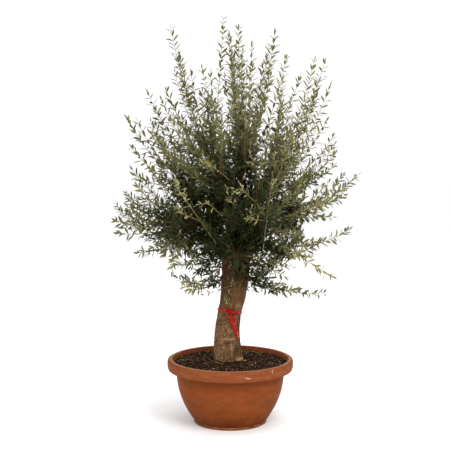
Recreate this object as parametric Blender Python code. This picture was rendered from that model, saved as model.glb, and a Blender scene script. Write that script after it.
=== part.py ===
"""Potted olive tree: a bowl pot, its soil, a leaning trunk, boughs and masses of leafy shoots.

Metres, +Z up. The origin is the middle of the pot's flat underside; +X is the right, +Y the back.
"""
import math
import random

import bmesh
import bpy
import numpy as np
from mathutils import Matrix, Vector

GAP = 0.0003  # left between two pieces that touch
UP = Vector((0.0, 0.0, 1.0))

# The pot: a bowl 0.60 m across, with a turned-down band round its rim
# Radius and height from behind the band, under it, up its outer side and over into the mouth
RIM_PROFILE = (
    (0.2820, 0.2960),
    (0.2950, 0.2900),
    (0.2918, 0.2540),
    (0.2958, 0.2540),
    (0.3000, 0.2680),
    (0.3000, 0.2900),
    (0.2970, 0.3000),
    (0.2900, 0.3040),
    (0.2780, 0.3040),
    (0.2740, 0.2990),
    (0.2710, 0.2880),
)
BODY_TOP_RADIUS = 0.2575
BODY_TOP_HEIGHT = 0.254
BODY_FOOT_RADIUS = 0.165
BODY_BULGE = 2.15  # power of the bowl's curve
BODY_LOW_RING = 0.016
BODY_HIGH_RING = 0.250
BODY_RING_SPACING = 1.35  # above 1 the rings lie closer near the foot
BODY_RINGS = 4
FOOT_RADIUS = 0.1738
FOOT_HEIGHT = 0.014
POT_WALL = 0.005
FLOOR_HEIGHT = 0.010
FLOOR_RADIUS = 0.1648
POT_STEPS = 32
MERGE_DISTANCE = 0.00002
DRAIN_HOLES = 4
DRAIN_SIDES = 6
DRAIN_RADIUS = 0.008
DRAIN_RING_RADIUS = 0.110

# The soil: fills the bowl and rises a little towards the trunk
SOIL_EDGE_HEIGHT = 0.283
SOIL_MIDDLE_HEIGHT = 0.2917
SOIL_SLOPE_HEIGHT = 0.62  # share of the rise, half way from the edge to the seat
SOIL_SEAT_RADIUS = 0.112

# The trunk, from its flat cut on the soil to the fork: height, middle's x and width
TRUNK_Y = 0.025
TRUNK_FOOT_HEIGHT = SOIL_MIDDLE_HEIGHT + GAP
TRUNK_STATIONS = (
    (TRUNK_FOOT_HEIGHT, -0.0100, 0.142),
    (0.335, -0.0147, 0.132),
    (0.396, -0.0162, 0.122),
    (0.454, -0.0131, 0.113),
    (0.512, -0.0071, 0.110),
    (0.570, 0.0069, 0.117),
    (0.654, 0.0195, 0.124),
    (0.720, 0.0245, 0.128),
    (0.780, 0.0260, 0.132),
    (0.825, 0.0245, 0.112),
    (0.850, 0.0230, 0.070),
)
TRUNK_SIDES = 16
TRUNK_CROWN_STATION = 4  # twigs keep off the trunk from this station up
FLUTES = ((3, 0.045, 0.6), (5, 0.025, 2.1))  # waves round the trunk: count, depth, turn

# The boughs spread from the fork, and every shoot points away from the head
FORK = Vector((0.024, TRUNK_Y, 0.800))
HEAD = Vector((0.022, 0.020, 0.879))
COLLAR_REACH = 0.080
COLLAR_FLARE = 1.25
COLLAR_RINGS = 3
LIMB_SIDES = 7
LIMB_RINGS = 5
BOUGH_REACH = 0.200
LIMB_REACH = 0.190
SIDE_COLLAR = 0.009
SIDE_ANGLE = math.radians(58)
LIMB_BASE_RADIUS = 0.012
LIMB_TIP_RADIUS = 0.0085
LIMB_SAMPLES = 24
# Bough, bearing and lean of its foot in degrees, the mass at its tip, base radius, tip radius
BOUGHS = (
    ("middle", 90, 0, "top_back", 0.026, 0.0120),
    ("left", 180, 66, "upper_left", 0.034, 0.0130),
    ("right", 0, 64, "middle_right", 0.033, 0.0130),
    ("back", 95, 66, "upper_back_left", 0.027, 0.0120),
    ("front", 262, 66, "upper_front_left", 0.024, 0.0120),
)
# Mass, bearing and lean of its middle line in degrees, what carries it, and the share of that bough's
# length (or of the trunk's height) where its own limb leaves; 1 is a bough's tip
MASSES = (
    ("top_left", 180, 17, "middle", 0.42),
    ("top_back", 65, 15, "middle", 1.0),
    ("top_front", 295, 15, "middle", 0.55),
    ("upper_left", 180, 41, "left", 1.0),
    ("upper_back_left", 108, 39, "back", 1.0),
    ("upper_back_right", 36, 38, "right", 0.40),
    ("upper_front_right", 324, 38, "right", 0.55),
    ("upper_front_left", 252, 39, "front", 1.0),
    ("middle_right", 0, 64, "right", 1.0),
    ("middle_back_right", 72, 70, "back", 0.50),
    ("middle_back_left", 144, 70, "left", 0.55),
    ("middle_front_left", 216, 70, "left", 0.40),
    ("middle_front_right", 288, 70, "front", 0.50),
    ("lower_left", 180, 92, "left", 0.25),
    ("lower_right", 0, 103, "right", 0.20),
    ("lower_back", 90, 108, "back", 0.22),
    ("lower_front", 270, 100, "front", 0.22),
    ("bottom_left", 180, 138, "trunk", 0.76),
    ("bottom_right", 0, 136, "trunk", 0.75),
)
# How far the crown reaches from the head at leans of 0, 20, 40 ... 160 degrees, on its four sides
LEAN_STEP = 20
REACH_RIGHT = (1.06, 1.03, 0.78, 0.70, 0.60, 0.56, 0.53, 0.42, 0.32)
REACH_BACK = (1.06, 1.04, 0.82, 0.68, 0.62, 0.57, 0.48, 0.40, 0.31)
REACH_LEFT = (1.06, 1.08, 0.84, 0.66, 0.63, 0.58, 0.43, 0.38, 0.31)
REACH_FRONT = (1.06, 1.04, 0.82, 0.68, 0.60, 0.42, 0.26, 0.22, 0.20)
REACHES = (REACH_RIGHT, REACH_BACK, REACH_LEFT, REACH_FRONT)

# Shoots: each mass has a leader, and side shoots that fan out from it
CELL_MARGIN = 0.003
LIMB_MARGIN = 0.005
SIDE_SHOOTS = 5
SMALL_REACH = 0.45  # a mass that reaches less far than this has fewer side shoots
SMALL_SIDE_SHOOTS = 3
LEADER_RINGS = 5
SHOOT_RINGS = 4
FAN_NEIGHBOURS = 4
FAN_SPREAD = (0.75, 1.1)  # least and most, of half the angle to the neighbouring masses
FAN_CLOSING = 0.5  # how far the fan closes over the tries to place a shoot
SHOOT_SPACING = (0.06, 0.48)  # share of the leader where the first and the last side shoot leave
SHOOT_TURN = 0.3
SHOOT_LENGTH = (0.86, 1.0)
SHOOT_SAMPLES = 10
LEADER_START = 0.3
LEADER_BEND = 0.6
STEM_BASE = 0.9  # of the radius of the limb it carries on
SAG = 0.10
SHOOT_TRIES = 12
TWIG_SIDES = 3
LEADER_TIP_RADIUS = 0.0032
SHOOT_BASE_RADIUS = 0.0052
SHOOT_TIP_RADIUS = 0.0030
LEADER_PAIRS = 2
SHOOT_PAIRS = 2
FIRST_PAIR = 0.20
LEAF_TRIES = 10
LEAF_FULL_SHOOT = 0.42  # leaves are shorter on shoots shorter than this
LEAF_SPACING = 0.052  # between the middles of any two leaves of a mass
LEAF_INNER_LENGTH = 0.150
LEAF_OUTER_LENGTH = 0.105
LEAF_WIDTH = 0.33  # of its length
LEAF_THICKNESS = 0.032  # of its length
LEAF_WIDEST = 0.42  # of its length
LEAF_ANGLE = math.radians(40)
LEAF_ANGLE_SPREAD = (0.8, 1.25)
LEAF_LENGTH_SPREAD = (0.9, 1.1)
PAIR_SPREAD = (0.1, 0.7)  # where a pair sits in its own share of the shoot
LEAF_SINK = 0.0012
TIP_SINK = 0.006

# The red marker tape tied round the trunk
TAPE_HEIGHT = 0.5245
TAPE_TILT = -0.17  # falls to the right
TAPE_LIFT = 0.16  # rises to the front
TAPE_WIDTH = 0.014
TAPE_THICKNESS = 0.0016
TAPE_CLEAR = 0.0004
KNOT_ANGLE = math.radians(-90)
KNOT_RADIUS = 0.016
KNOT_SQUASH = (1.1, 0.5, 0.9)
# A tail's angles round the trunk at its top and at its end, its drop and its width
LONG_TAIL = (math.radians(-95), math.radians(-34), 0.116, 0.017)
SHORT_TAIL = (math.radians(-62), math.radians(-52), 0.040, 0.010)
TAIL_TOP = 0.016  # below the band's middle line
TAIL_CLEAR = 0.0007
TAIL_LIFT = 0.003
TAIL_RINGS = 5

# Colours: red, green, blue, then roughness
COLOURS = {
    "terracotta_plastic": (0.30, 0.085, 0.025, 0.55),
    "soil": (0.040, 0.020, 0.010, 0.95),
    "bark": (0.150, 0.080, 0.045, 0.90),
    "foliage": (0.085, 0.095, 0.035, 0.60),
    "marker_tape": (0.480, 0.008, 0.008, 0.35),
}


def clear_scene():
    """Remove whatever objects the file opened with."""
    for thing in list(bpy.data.objects):
        bpy.data.objects.remove(thing, do_unlink=True)


def material(name):
    """One plain Principled material for each finish."""
    made = bpy.data.materials.get(name)
    if made:
        return made
    made = bpy.data.materials.new(name)
    made.use_nodes = True
    red, green, blue, roughness = COLOURS[name]
    shader = made.node_tree.nodes["Principled BSDF"]
    shader.inputs["Base Color"].default_value = (red, green, blue, 1.0)
    shader.inputs["Roughness"].default_value = roughness
    shader.inputs["Metallic"].default_value = 0.0
    return made


def mix(low, high, share):
    """The value a share of the way from low to high."""
    return low + (high - low) * share


def add_object(name, shape, finish, smooth_angle=None):
    """Link a bmesh as a named object with one finish."""
    mesh = bpy.data.meshes.new(name)
    bmesh.ops.recalc_face_normals(shape, faces=shape.faces)
    shape.to_mesh(mesh)
    shape.free()
    mesh.materials.append(material(finish))
    if smooth_angle:
        mesh.shade_smooth()
        mesh.set_sharp_from_angle(angle=smooth_angle)
    made = bpy.data.objects.new(name, mesh)
    bpy.context.scene.collection.objects.link(made)
    return made


def loft(rings):
    """A closed body through rings of equally many points, with a flat face at both ends."""
    shape = bmesh.new()
    rows = [[shape.verts.new(point) for point in ring] for ring in rings]
    for low, high in zip(rows, rows[1:]):
        for index in range(len(low)):
            after = (index + 1) % len(low)
            shape.faces.new((low[index], low[after], high[after], high[index]))
    shape.faces.new(rows[0])
    shape.faces.new(rows[-1])
    return shape


def turned(profile, steps):
    """A closed body spun round the Z axis from points (radius, height) that start and end on it."""
    shape = bmesh.new()
    points = [shape.verts.new((radius, 0.0, height)) for radius, height in profile]
    edges = [shape.edges.new(pair) for pair in zip(points, points[1:])]
    bmesh.ops.spin(
        shape, geom=points + edges, cent=(0, 0, 0), axis=(0, 0, 1),
        angle=math.tau, steps=steps, use_merge=True,
    )
    bmesh.ops.remove_doubles(shape, verts=shape.verts, dist=MERGE_DISTANCE)
    return shape


def boolean(target, operation, pieces):
    """Join loose pieces to an object or cut them from it, held for that in a collection of their own."""
    group = bpy.data.collections.new(target.name + "_pieces")
    bpy.context.scene.collection.children.link(group)
    for piece in pieces:
        bpy.context.scene.collection.objects.unlink(piece)
        group.objects.link(piece)
    change = target.modifiers.new(operation.lower(), "BOOLEAN")
    change.operation = operation
    change.solver = "EXACT"
    change.operand_type = "COLLECTION"
    change.collection = group
    graph = bpy.context.evaluated_depsgraph_get()
    result = bpy.data.meshes.new_from_object(target.evaluated_get(graph))
    target.modifiers.clear()
    target.data = result
    for piece in pieces:
        bpy.data.objects.remove(piece, do_unlink=True)
    bpy.data.collections.remove(group)


# ---- Pot and soil ----------------------------------------------------------------------------------


def body_radius(height):
    """Outer radius of the bowl's wall at a height."""
    share = 1.0 - (1.0 - height / BODY_TOP_HEIGHT) ** BODY_BULGE
    return mix(BODY_FOOT_RADIUS, BODY_TOP_RADIUS, share)


def body_heights():
    """Heights of the rings that the bowl's wall is turned through."""
    shares = [(ring / BODY_RINGS) ** BODY_RING_SPACING for ring in range(BODY_RINGS + 1)]
    return [mix(BODY_LOW_RING, BODY_HIGH_RING, share) for share in shares]


def bowl_inside():
    """The bowl's inner profile, from the floor's middle up to the mouth."""
    wall = [(body_radius(height) - POT_WALL, height) for height in body_heights()[1:]]
    return [(0.0, FLOOR_HEIGHT), (FLOOR_RADIUS, FLOOR_HEIGHT), *wall, RIM_PROFILE[-1]]


def make_pot():
    """The bowl with its foot, its wall, its turned-down band and its drain holes."""
    outside = [(0.0, 0.0), (FOOT_RADIUS, 0.0), (FOOT_RADIUS, FOOT_HEIGHT)]
    outside += [(body_radius(height), height) for height in body_heights()]
    profile = [*outside, *RIM_PROFILE[:-1], *bowl_inside()[::-1]]
    pot = add_object("pot", turned(profile, POT_STEPS), "terracotta_plastic", math.radians(40))
    holes = []
    for index in range(DRAIN_HOLES):
        turn = Matrix.Rotation(math.tau * (index + 0.5) / DRAIN_HOLES, 4, "Z")
        spot = turn @ Vector((DRAIN_RING_RADIUS, 0.0, FLOOR_HEIGHT / 2))
        shape = bmesh.new()
        bmesh.ops.create_cone(
            shape, cap_ends=True, segments=DRAIN_SIDES, radius1=DRAIN_RADIUS, radius2=DRAIN_RADIUS,
            depth=FLOOR_HEIGHT * 3, matrix=Matrix.Translation(spot),
        )
        holes.append(add_object(f"drain_{index}", shape, "terracotta_plastic"))
    boolean(pot, "DIFFERENCE", holes)


def make_soil():
    """The potting soil, against the bowl's inside all round, with a level seat under the trunk."""
    inner = bowl_inside()
    profile = [(0.0, FLOOR_HEIGHT + GAP), (FLOOR_RADIUS - GAP, FLOOR_HEIGHT + GAP)]
    profile += [(radius - GAP, height) for radius, height in inner[2:-1]]
    low, high = inner[-2:]
    edge = mix(low[0], high[0], (SOIL_EDGE_HEIGHT - low[1]) / (high[1] - low[1]))
    slope = mix(SOIL_EDGE_HEIGHT, SOIL_MIDDLE_HEIGHT, SOIL_SLOPE_HEIGHT)
    profile.append((edge - GAP, SOIL_EDGE_HEIGHT))
    profile.append(((edge + SOIL_SEAT_RADIUS) / 2, slope))
    profile.append((SOIL_SEAT_RADIUS, SOIL_MIDDLE_HEIGHT))
    profile.append((0.0, SOIL_MIDDLE_HEIGHT))
    add_object("soil", turned(profile, POT_STEPS), "soil", math.radians(40))


# ---- Trunk and boughs ------------------------------------------------------------------------------


def trunk_station(height):
    """The trunk's middle and mean radius at a height, along straight lines between its stations."""
    pairs = list(zip(TRUNK_STATIONS, TRUNK_STATIONS[1:]))
    for low, high in pairs:
        if height <= high[0] or high is pairs[-1][1]:
            share = (height - low[0]) / (high[0] - low[0])
            middle = Vector((mix(low[1], high[1], share), TRUNK_Y, height))
            return middle, mix(low[2], high[2], share) / 2


def trunk_point(height, angle, clear=0.0):
    """A point on the fluted trunk at a height and an angle, or that far clear of it."""
    middle, radius = trunk_station(height)
    wave = sum(depth * math.cos(count * angle + turn) for count, depth, turn in FLUTES)
    reach = radius * (1.0 + wave) + clear
    return middle + Vector((math.cos(angle), math.sin(angle), 0.0)) * reach


def bearing_vector(bearing, lean):
    """The direction at a bearing round the Z axis and a lean from upright, in degrees."""
    bearing, lean = math.radians(bearing), math.radians(lean)
    return Vector((
        math.sin(lean) * math.cos(bearing),
        math.sin(lean) * math.sin(bearing),
        math.cos(lean),
    ))


def bezier(points, share):
    """The point a share of the way along a Bezier curve."""
    while len(points) > 1:
        points = [low.lerp(high, share) for low, high in zip(points, points[1:])]
    return points[0]


def slope_at(points, share):
    """The unit direction of a Bezier curve at a share of its way."""
    return (bezier(points, min(share + 0.01, 1.0)) - bezier(points, max(share - 0.01, 0.0))).normalized()


def tube_rings(points, base_radius, tip_radius, sides, count, end=1.0):
    """Tapering rings round a Bezier curve, up to a share of its way and square to it at both ends."""
    side = (points[1] - points[0]).orthogonal().normalized()
    rings = []
    for ring in range(count):
        step = ring / (count - 1)
        share = step * end
        along = slope_at(points, share)
        if share == 0.0:
            along = (points[1] - points[0]).normalized()
        elif share == 1.0:
            along = (points[-1] - points[-2]).normalized()
        side = (side - along * side.dot(along)).normalized()
        other = along.cross(side)
        radius = mix(base_radius, tip_radius, step)
        middle = bezier(points, share)
        turns = [math.tau * step / sides for step in range(sides)]
        rings.append([middle + (side * math.cos(a) + other * math.sin(a)) * radius for a in turns])
    return rings


class Limb:
    """One tapering bough or limb: its curve, its radii and the collars that its own limbs leave from."""

    def __init__(self, name, foot, start, axis, reach, base_radius, tip_radius):
        self.name = name
        end = HEAD + axis * reach
        third = (end - foot).length / 3
        self.points = [foot, foot + start * third, end - axis * third, end]
        self.base_radius = base_radius
        self.tip_radius = tip_radius
        self.collars = []

    def radius(self, share):
        return mix(self.base_radius, self.tip_radius, share)

    def side_foot(self, share, axis, radius):
        """Add a collar for a side limb; return that limb's foot and its direction there."""
        middle = bezier(self.points, share)
        along = slope_at(self.points, share)
        outward = HEAD + axis * LIMB_REACH - middle
        outward = (outward - along * outward.dot(along)).normalized()
        start = outward * math.sin(SIDE_ANGLE) + along * math.cos(SIDE_ANGLE)
        mouth = middle + start * (self.radius(share) / math.sin(SIDE_ANGLE) + SIDE_COLLAR)
        self.collars.append((middle, mouth, radius))
        return mouth + start * GAP, start

    def samples(self):
        """Points and radii along the limb, for keeping twigs off it."""
        shares = [step / LIMB_SAMPLES for step in range(LIMB_SAMPLES + 1)]
        return [(bezier(self.points, share), self.radius(share)) for share in shares]


def collar_object(name, middle, mouth, radius):
    """A short tapering collar from inside its parent to the flat mouth where a limb begins."""
    along = mouth - middle
    points = [middle, middle + along / 2, mouth]
    rings = tube_rings(points, radius * COLLAR_FLARE, radius, LIMB_SIDES, COLLAR_RINGS)
    return add_object(name, loft(rings), "bark")


def plan_limbs():
    """Lay out the boughs and the side limbs, and the foot of every mass's stem."""
    axes = {name: bearing_vector(bearing, lean) for name, bearing, lean, _, _ in MASSES}
    trunk_collars = []
    limbs = {}
    feet = {}
    for name, bearing, lean, mass, base_radius, tip_radius in BOUGHS:
        start = bearing_vector(bearing, lean)
        mouth = FORK + start * COLLAR_REACH
        trunk_collars.append((FORK, mouth, base_radius))
        limbs[name] = Limb(
            "bough_" + name, mouth + start * GAP, start, axes[mass], BOUGH_REACH, base_radius, tip_radius,
        )
        feet[mass] = (limbs[name].points[-1] + axes[mass] * GAP, axes[mass], tip_radius)
    for name, _, _, carrier, share in MASSES:
        axis = axes[name]
        if carrier == "trunk":
            middle, radius = trunk_station(share)
            mouth = middle + axis * (radius / math.hypot(axis.x, axis.y) + SIDE_COLLAR)
            trunk_collars.append((middle, mouth, LIMB_TIP_RADIUS))
            feet[name] = (mouth + axis * GAP, axis, LIMB_TIP_RADIUS)
        elif share < 1.0:
            foot, start = limbs[carrier].side_foot(share, axis, LIMB_BASE_RADIUS)
            limb = Limb("limb_" + name, foot, start, axis, LIMB_REACH, LIMB_BASE_RADIUS, LIMB_TIP_RADIUS)
            limbs["limb_" + name] = limb
            feet[name] = (limb.points[-1] + axis * GAP, axis, LIMB_TIP_RADIUS)
    return axes, trunk_collars, limbs, feet


def make_trunk(collars):
    """The trunk up to its fork, with a collar for every bough and shoot that leaves it."""
    turns = [math.tau * step / TRUNK_SIDES for step in range(TRUNK_SIDES)]
    rings = [[trunk_point(height, turn) for turn in turns] for height, _, _ in TRUNK_STATIONS]
    trunk = add_object("trunk", loft(rings), "bark")
    pieces = [
        collar_object(f"trunk_collar_{index}", *collar) for index, collar in enumerate(collars)
    ]
    boolean(trunk, "UNION", pieces)


def make_limb(limb):
    """One bough or limb with the collars of its own side limbs."""
    rings = tube_rings(limb.points, limb.base_radius, limb.tip_radius, LIMB_SIDES, LIMB_RINGS)
    made = add_object(limb.name, loft(rings), "bark")
    if limb.collars:
        pieces = [
            collar_object(f"{limb.name}_collar_{index}", *collar)
            for index, collar in enumerate(limb.collars)
        ]
        boolean(made, "UNION", pieces)


# ---- Foliage ---------------------------------------------------------------------------------------


def reach_towards(direction):
    """How far the crown reaches from the head in a direction."""
    lean = math.degrees(direction.angle(UP)) / LEAN_STEP
    step = min(int(lean), len(REACH_RIGHT) - 2)
    side = math.degrees(math.atan2(direction.y, direction.x)) % 360.0 / 90.0
    sides = (REACHES[int(side) % 4], REACHES[(int(side) + 1) % 4])
    reaches = [mix(profile[step], profile[step + 1], lean - step) for profile in sides]
    return mix(*reaches, side - int(side))


class Space:
    """The cone of space that one mass keeps to, and the limbs that its twigs stay clear of."""

    def __init__(self, name, axes, limb_points, limb_radii):
        axis = axes[name]
        others = [other for key, other in axes.items() if key != name]
        self.planes = np.array([tuple((axis - other).normalized()) for other in others])
        near = sorted(axis.angle(other) for other in others)[:FAN_NEIGHBOURS]
        self.fan = sum(near) / FAN_NEIGHBOURS / 2
        self.limb_points = limb_points
        self.limb_radii = limb_radii

    def holds(self, points):
        """True where every point lies inside the cone and off the limbs."""
        spots = np.array([tuple(point) for point in points])
        if ((spots - np.array(HEAD)) @ self.planes.T).min() < CELL_MARGIN:
            return False
        apart = np.linalg.norm(spots[:, None, :] - self.limb_points[None, :, :], axis=2)
        return bool((apart - self.limb_radii[None, :]).min() > LIMB_MARGIN)


def shoot_curve(start, end):
    """The curve of a shoot: it sags below the straight line between its ends, the more the further out."""
    way = end - start
    level = math.hypot(way.x, way.y)
    return [start, start.lerp(end, 0.5) - UP * SAG * level, end]


def wood_end(curve):
    """The share of a shoot's way where its wood ends and its last leaf takes over."""
    return 1.0 - (LEAF_OUTER_LENGTH - TIP_SINK) / (curve[-1] - curve[0]).length


def on_wood(curve, rings, share):
    """The point and the direction a share of the way along a shoot's wood, straight from ring to ring."""
    step = min(int(share * (rings - 1)), rings - 2)
    end = wood_end(curve)
    low = bezier(curve, end * step / (rings - 1))
    high = bezier(curve, end * (step + 1) / (rings - 1))
    return low.lerp(high, share * (rings - 1) - step), (high - low).normalized()


def plan_shoots(name, axis, foot, space):
    """The leader and the side shoots of a mass, as Bezier curves, by a rule seeded with its name."""
    draw = random.Random("shoots " + name)
    tip = HEAD + axis * reach_towards(axis)
    length = (tip - foot).length
    bend = foot.lerp(tip, LEADER_BEND) - UP * SAG * math.hypot(axis.x, axis.y) * length
    leader = [foot, foot + axis * length * LEADER_START, bend, tip]
    shoots = [leader]
    side = axis.orthogonal().normalized()
    first_turn = draw.uniform(0.0, math.tau)
    count = SIDE_SHOOTS if reach_towards(axis) > SMALL_REACH else SMALL_SIDE_SHOOTS
    for number in range(count):
        start, _ = on_wood(leader, LEADER_RINGS, mix(*SHOOT_SPACING, number / (count - 1)))
        for attempt in range(SHOOT_TRIES):
            turn = first_turn + number * math.tau / count + draw.uniform(-SHOOT_TURN, SHOOT_TURN)
            fan = space.fan * draw.uniform(*FAN_SPREAD) * (1.0 - FAN_CLOSING * attempt / SHOOT_TRIES)
            around = Matrix.Rotation(turn, 3, axis) @ side
            aim = (axis * math.cos(fan) + around * math.sin(fan)).normalized()
            end = HEAD + aim * reach_towards(aim) * draw.uniform(*SHOOT_LENGTH)
            curve = shoot_curve(start, end)
            if space.holds([bezier(curve, (step + 1) / SHOOT_SAMPLES) for step in range(SHOOT_SAMPLES)]):
                shoots.append(curve)
                break
    return shoots


def leaf_points(root, along, face, length):
    """The six corners of a leaf: root, tip, two sides, top and underside."""
    across = along.cross(face).normalized()
    middle = root + along * length * LEAF_WIDEST
    half = across * length * LEAF_WIDTH / 2
    thick = along.cross(across).normalized() * length * LEAF_THICKNESS / 2
    return [root, root + along * length, middle + half, middle - half, middle + thick, middle - thick]


def leaf_object(name, corners):
    """A leaf as a closed body of eight faces."""
    shape = bmesh.new()
    root, tip, left, right, top, under = [shape.verts.new(corner) for corner in corners]
    for end in (root, tip):
        for edge in (left, right):
            for face in (top, under):
                shape.faces.new((end, edge, face))
    return add_object(name, shape, "foliage")


def apart(corners, leaves):
    """True where a leaf's middle keeps its distance from the middles of the other leaves."""
    middle = (corners[0] + corners[1]) / 2
    return all((middle - (other[0] + other[1]) / 2).length > LEAF_SPACING for other in leaves)


def plan_leaves(name, shoots, space):
    """Corners of every leaf of a mass: one at each shoot's end and opposite pairs along it."""
    draw = random.Random("leaves " + name)
    leaves = []
    for number, curve in enumerate(shoots):
        end, along = on_wood(curve, SHOOT_RINGS if number else LEADER_RINGS, 1.0)
        face = Matrix.Rotation(draw.uniform(0.0, math.pi), 3, along) @ along.orthogonal().normalized()
        corners = leaf_points(end - along * TIP_SINK, along, face, LEAF_OUTER_LENGTH)
        if space.holds(corners[1:]):
            leaves.append(corners)
    for number, curve in enumerate(shoots):
        pairs = SHOOT_PAIRS - number % 2 if number else LEADER_PAIRS
        for pair in range(pairs):
            for attempt in range(LEAF_TRIES):
                share = mix(FIRST_PAIR, 1.0, (pair + draw.uniform(*PAIR_SPREAD)) / pairs)
                root, along = on_wood(curve, SHOOT_RINGS if number else LEADER_RINGS, share)
                spin = draw.uniform(0.0, math.tau)
                side = Matrix.Rotation(spin, 3, along) @ along.orthogonal().normalized()
                twins = []
                for flank in (side, -side):
                    angle = LEAF_ANGLE * draw.uniform(*LEAF_ANGLE_SPREAD)
                    heading = (along * math.cos(angle) + flank * math.sin(angle)).normalized()
                    length = mix(LEAF_INNER_LENGTH, LEAF_OUTER_LENGTH, share)
                    length *= draw.uniform(*LEAF_LENGTH_SPREAD)
                    length *= min(1.0, (curve[-1] - curve[0]).length / LEAF_FULL_SHOOT)
                    twins.append(leaf_points(root - heading * LEAF_SINK, heading, along, length))
                if all(space.holds(twin[1:]) and apart(twin, leaves) for twin in twins):
                    leaves.extend(twins)
                    break
    return leaves


def make_mass(name, foot, axis, foot_radius, space):
    """One mass of foliage: its stem and side shoots with their leaves, fused into one body."""
    shoots = plan_shoots(name, axis, foot, space)
    leader = shoots[0]
    rings = tube_rings(
        leader, foot_radius * STEM_BASE, LEADER_TIP_RADIUS, TWIG_SIDES, LEADER_RINGS, wood_end(leader),
    )
    stem = add_object("mass_" + name, loft(rings), "foliage")
    pieces = []
    for number, curve in enumerate(shoots[1:]):
        rings = tube_rings(
            curve, SHOOT_BASE_RADIUS, SHOOT_TIP_RADIUS, TWIG_SIDES, SHOOT_RINGS, wood_end(curve),
        )
        pieces.append(add_object(f"{name}_shoot_{number}", loft(rings), "foliage"))
    for index, corners in enumerate(plan_leaves(name, shoots, space)):
        pieces.append(leaf_object(f"{name}_leaf_{index}", corners))
    boolean(stem, "UNION", pieces)


def make_foliage(axes, limbs, feet):
    """Every mass, each in its own cone of space round the head."""
    samples = [sample for limb in limbs.values() for sample in limb.samples()]
    crown = TRUNK_STATIONS[TRUNK_CROWN_STATION:]
    for low, high in zip(crown, crown[1:]):
        samples += [trunk_station(low[0]), trunk_station((low[0] + high[0]) / 2)]
    points = np.array([tuple(point) for point, _ in samples])
    radii = np.array([radius for _, radius in samples])
    for name, *_ in MASSES:
        foot, axis, radius = feet[name]
        make_mass(name, foot, axis, radius, Space(name, axes, points, radii))


# ---- Marker tape -----------------------------------------------------------------------------------


def tape_middle(angle):
    """Height of the tape's middle line where it passes an angle round the trunk."""
    _, radius = trunk_station(TAPE_HEIGHT)
    return TAPE_HEIGHT + (TAPE_TILT * math.cos(angle) - TAPE_LIFT * math.sin(angle)) * radius


def make_tape_band():
    """The tape's turn round the trunk: a closed ring that follows the trunk's own section."""
    shape = bmesh.new()
    rows = []
    for step in range(TRUNK_SIDES):
        angle = math.tau * step / TRUNK_SIDES
        low = tape_middle(angle) - TAPE_WIDTH / 2
        high = tape_middle(angle) + TAPE_WIDTH / 2
        corners = [
            trunk_point(low, angle, TAPE_CLEAR),
            trunk_point(low, angle, TAPE_CLEAR + TAPE_THICKNESS),
            trunk_point(high, angle, TAPE_CLEAR + TAPE_THICKNESS),
            trunk_point(high, angle, TAPE_CLEAR),
        ]
        rows.append([shape.verts.new(corner) for corner in corners])
    for step, row in enumerate(rows):
        after = rows[(step + 1) % TRUNK_SIDES]
        for corner in range(4):
            following = (corner + 1) % 4
            shape.faces.new((row[corner], row[following], after[following], after[corner]))
    add_object("marker_tape_band", shape, "marker_tape")


def make_tape_knot():
    """The knot in front of the band: a small flattened lump."""
    outside = TAPE_CLEAR + TAPE_THICKNESS + GAP
    face = trunk_point(tape_middle(KNOT_ANGLE), KNOT_ANGLE, outside)
    outward = Vector((math.cos(KNOT_ANGLE), math.sin(KNOT_ANGLE), 0.0))
    shape = bmesh.new()
    bmesh.ops.create_icosphere(shape, subdivisions=1, radius=KNOT_RADIUS)
    squash = Matrix.Diagonal((*KNOT_SQUASH, 1.0))
    turn = Matrix.Rotation(KNOT_ANGLE + math.pi / 2, 4, "Z")
    bmesh.ops.transform(shape, matrix=turn @ squash, verts=shape.verts)
    back = min(corner.co.dot(outward) for corner in shape.verts)
    bmesh.ops.translate(shape, vec=face - outward * back, verts=shape.verts)
    add_object("marker_tape_knot", shape, "marker_tape")


def make_tape_tail(name, start_angle, end_angle, drop, width):
    """A loose tail that hangs from the knot down the trunk's front."""
    rings = []
    for ring in range(TAIL_RINGS):
        share = ring / (TAIL_RINGS - 1)
        angle = mix(start_angle, end_angle, share)
        height = tape_middle(start_angle) - TAIL_TOP - drop * share
        _, radius = trunk_station(height)
        half = width / 2 / radius
        hollow = radius * (1.0 - math.cos(half))
        clear = TAIL_CLEAR + hollow + TAIL_LIFT * math.sin(math.pi * share)
        rings.append([
            trunk_point(height, angle - half, clear),
            trunk_point(height, angle + half, clear),
            trunk_point(height, angle + half, clear + TAPE_THICKNESS),
            trunk_point(height, angle - half, clear + TAPE_THICKNESS),
        ])
    add_object(name, loft(rings), "marker_tape")


def make_tape():
    """The red tape: its band, its knot and its two tails."""
    make_tape_band()
    make_tape_knot()
    make_tape_tail("marker_tape_tail_long", *LONG_TAIL)
    make_tape_tail("marker_tape_tail_short", *SHORT_TAIL)


def main():
    clear_scene()
    make_pot()
    make_soil()
    axes, trunk_collars, limbs, feet = plan_limbs()
    make_trunk(trunk_collars)
    for limb in limbs.values():
        make_limb(limb)
    make_foliage(axes, limbs, feet)
    make_tape()


main()
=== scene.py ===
"""Potted olive tree: a clay-coloured bowl, potting soil, rough bark, leafy twigs and a red tape.

Metres, +Z up. The middle of the pot's flat underside is the origin; +X is the right, +Y the back.
"""
import random
from itertools import pairwise
from math import atan2, cos, degrees, exp, hypot, pi, radians, sin, sqrt, tau

import bpy
import numpy as np
from mathutils import Matrix, Vector, kdtree, noise


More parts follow.
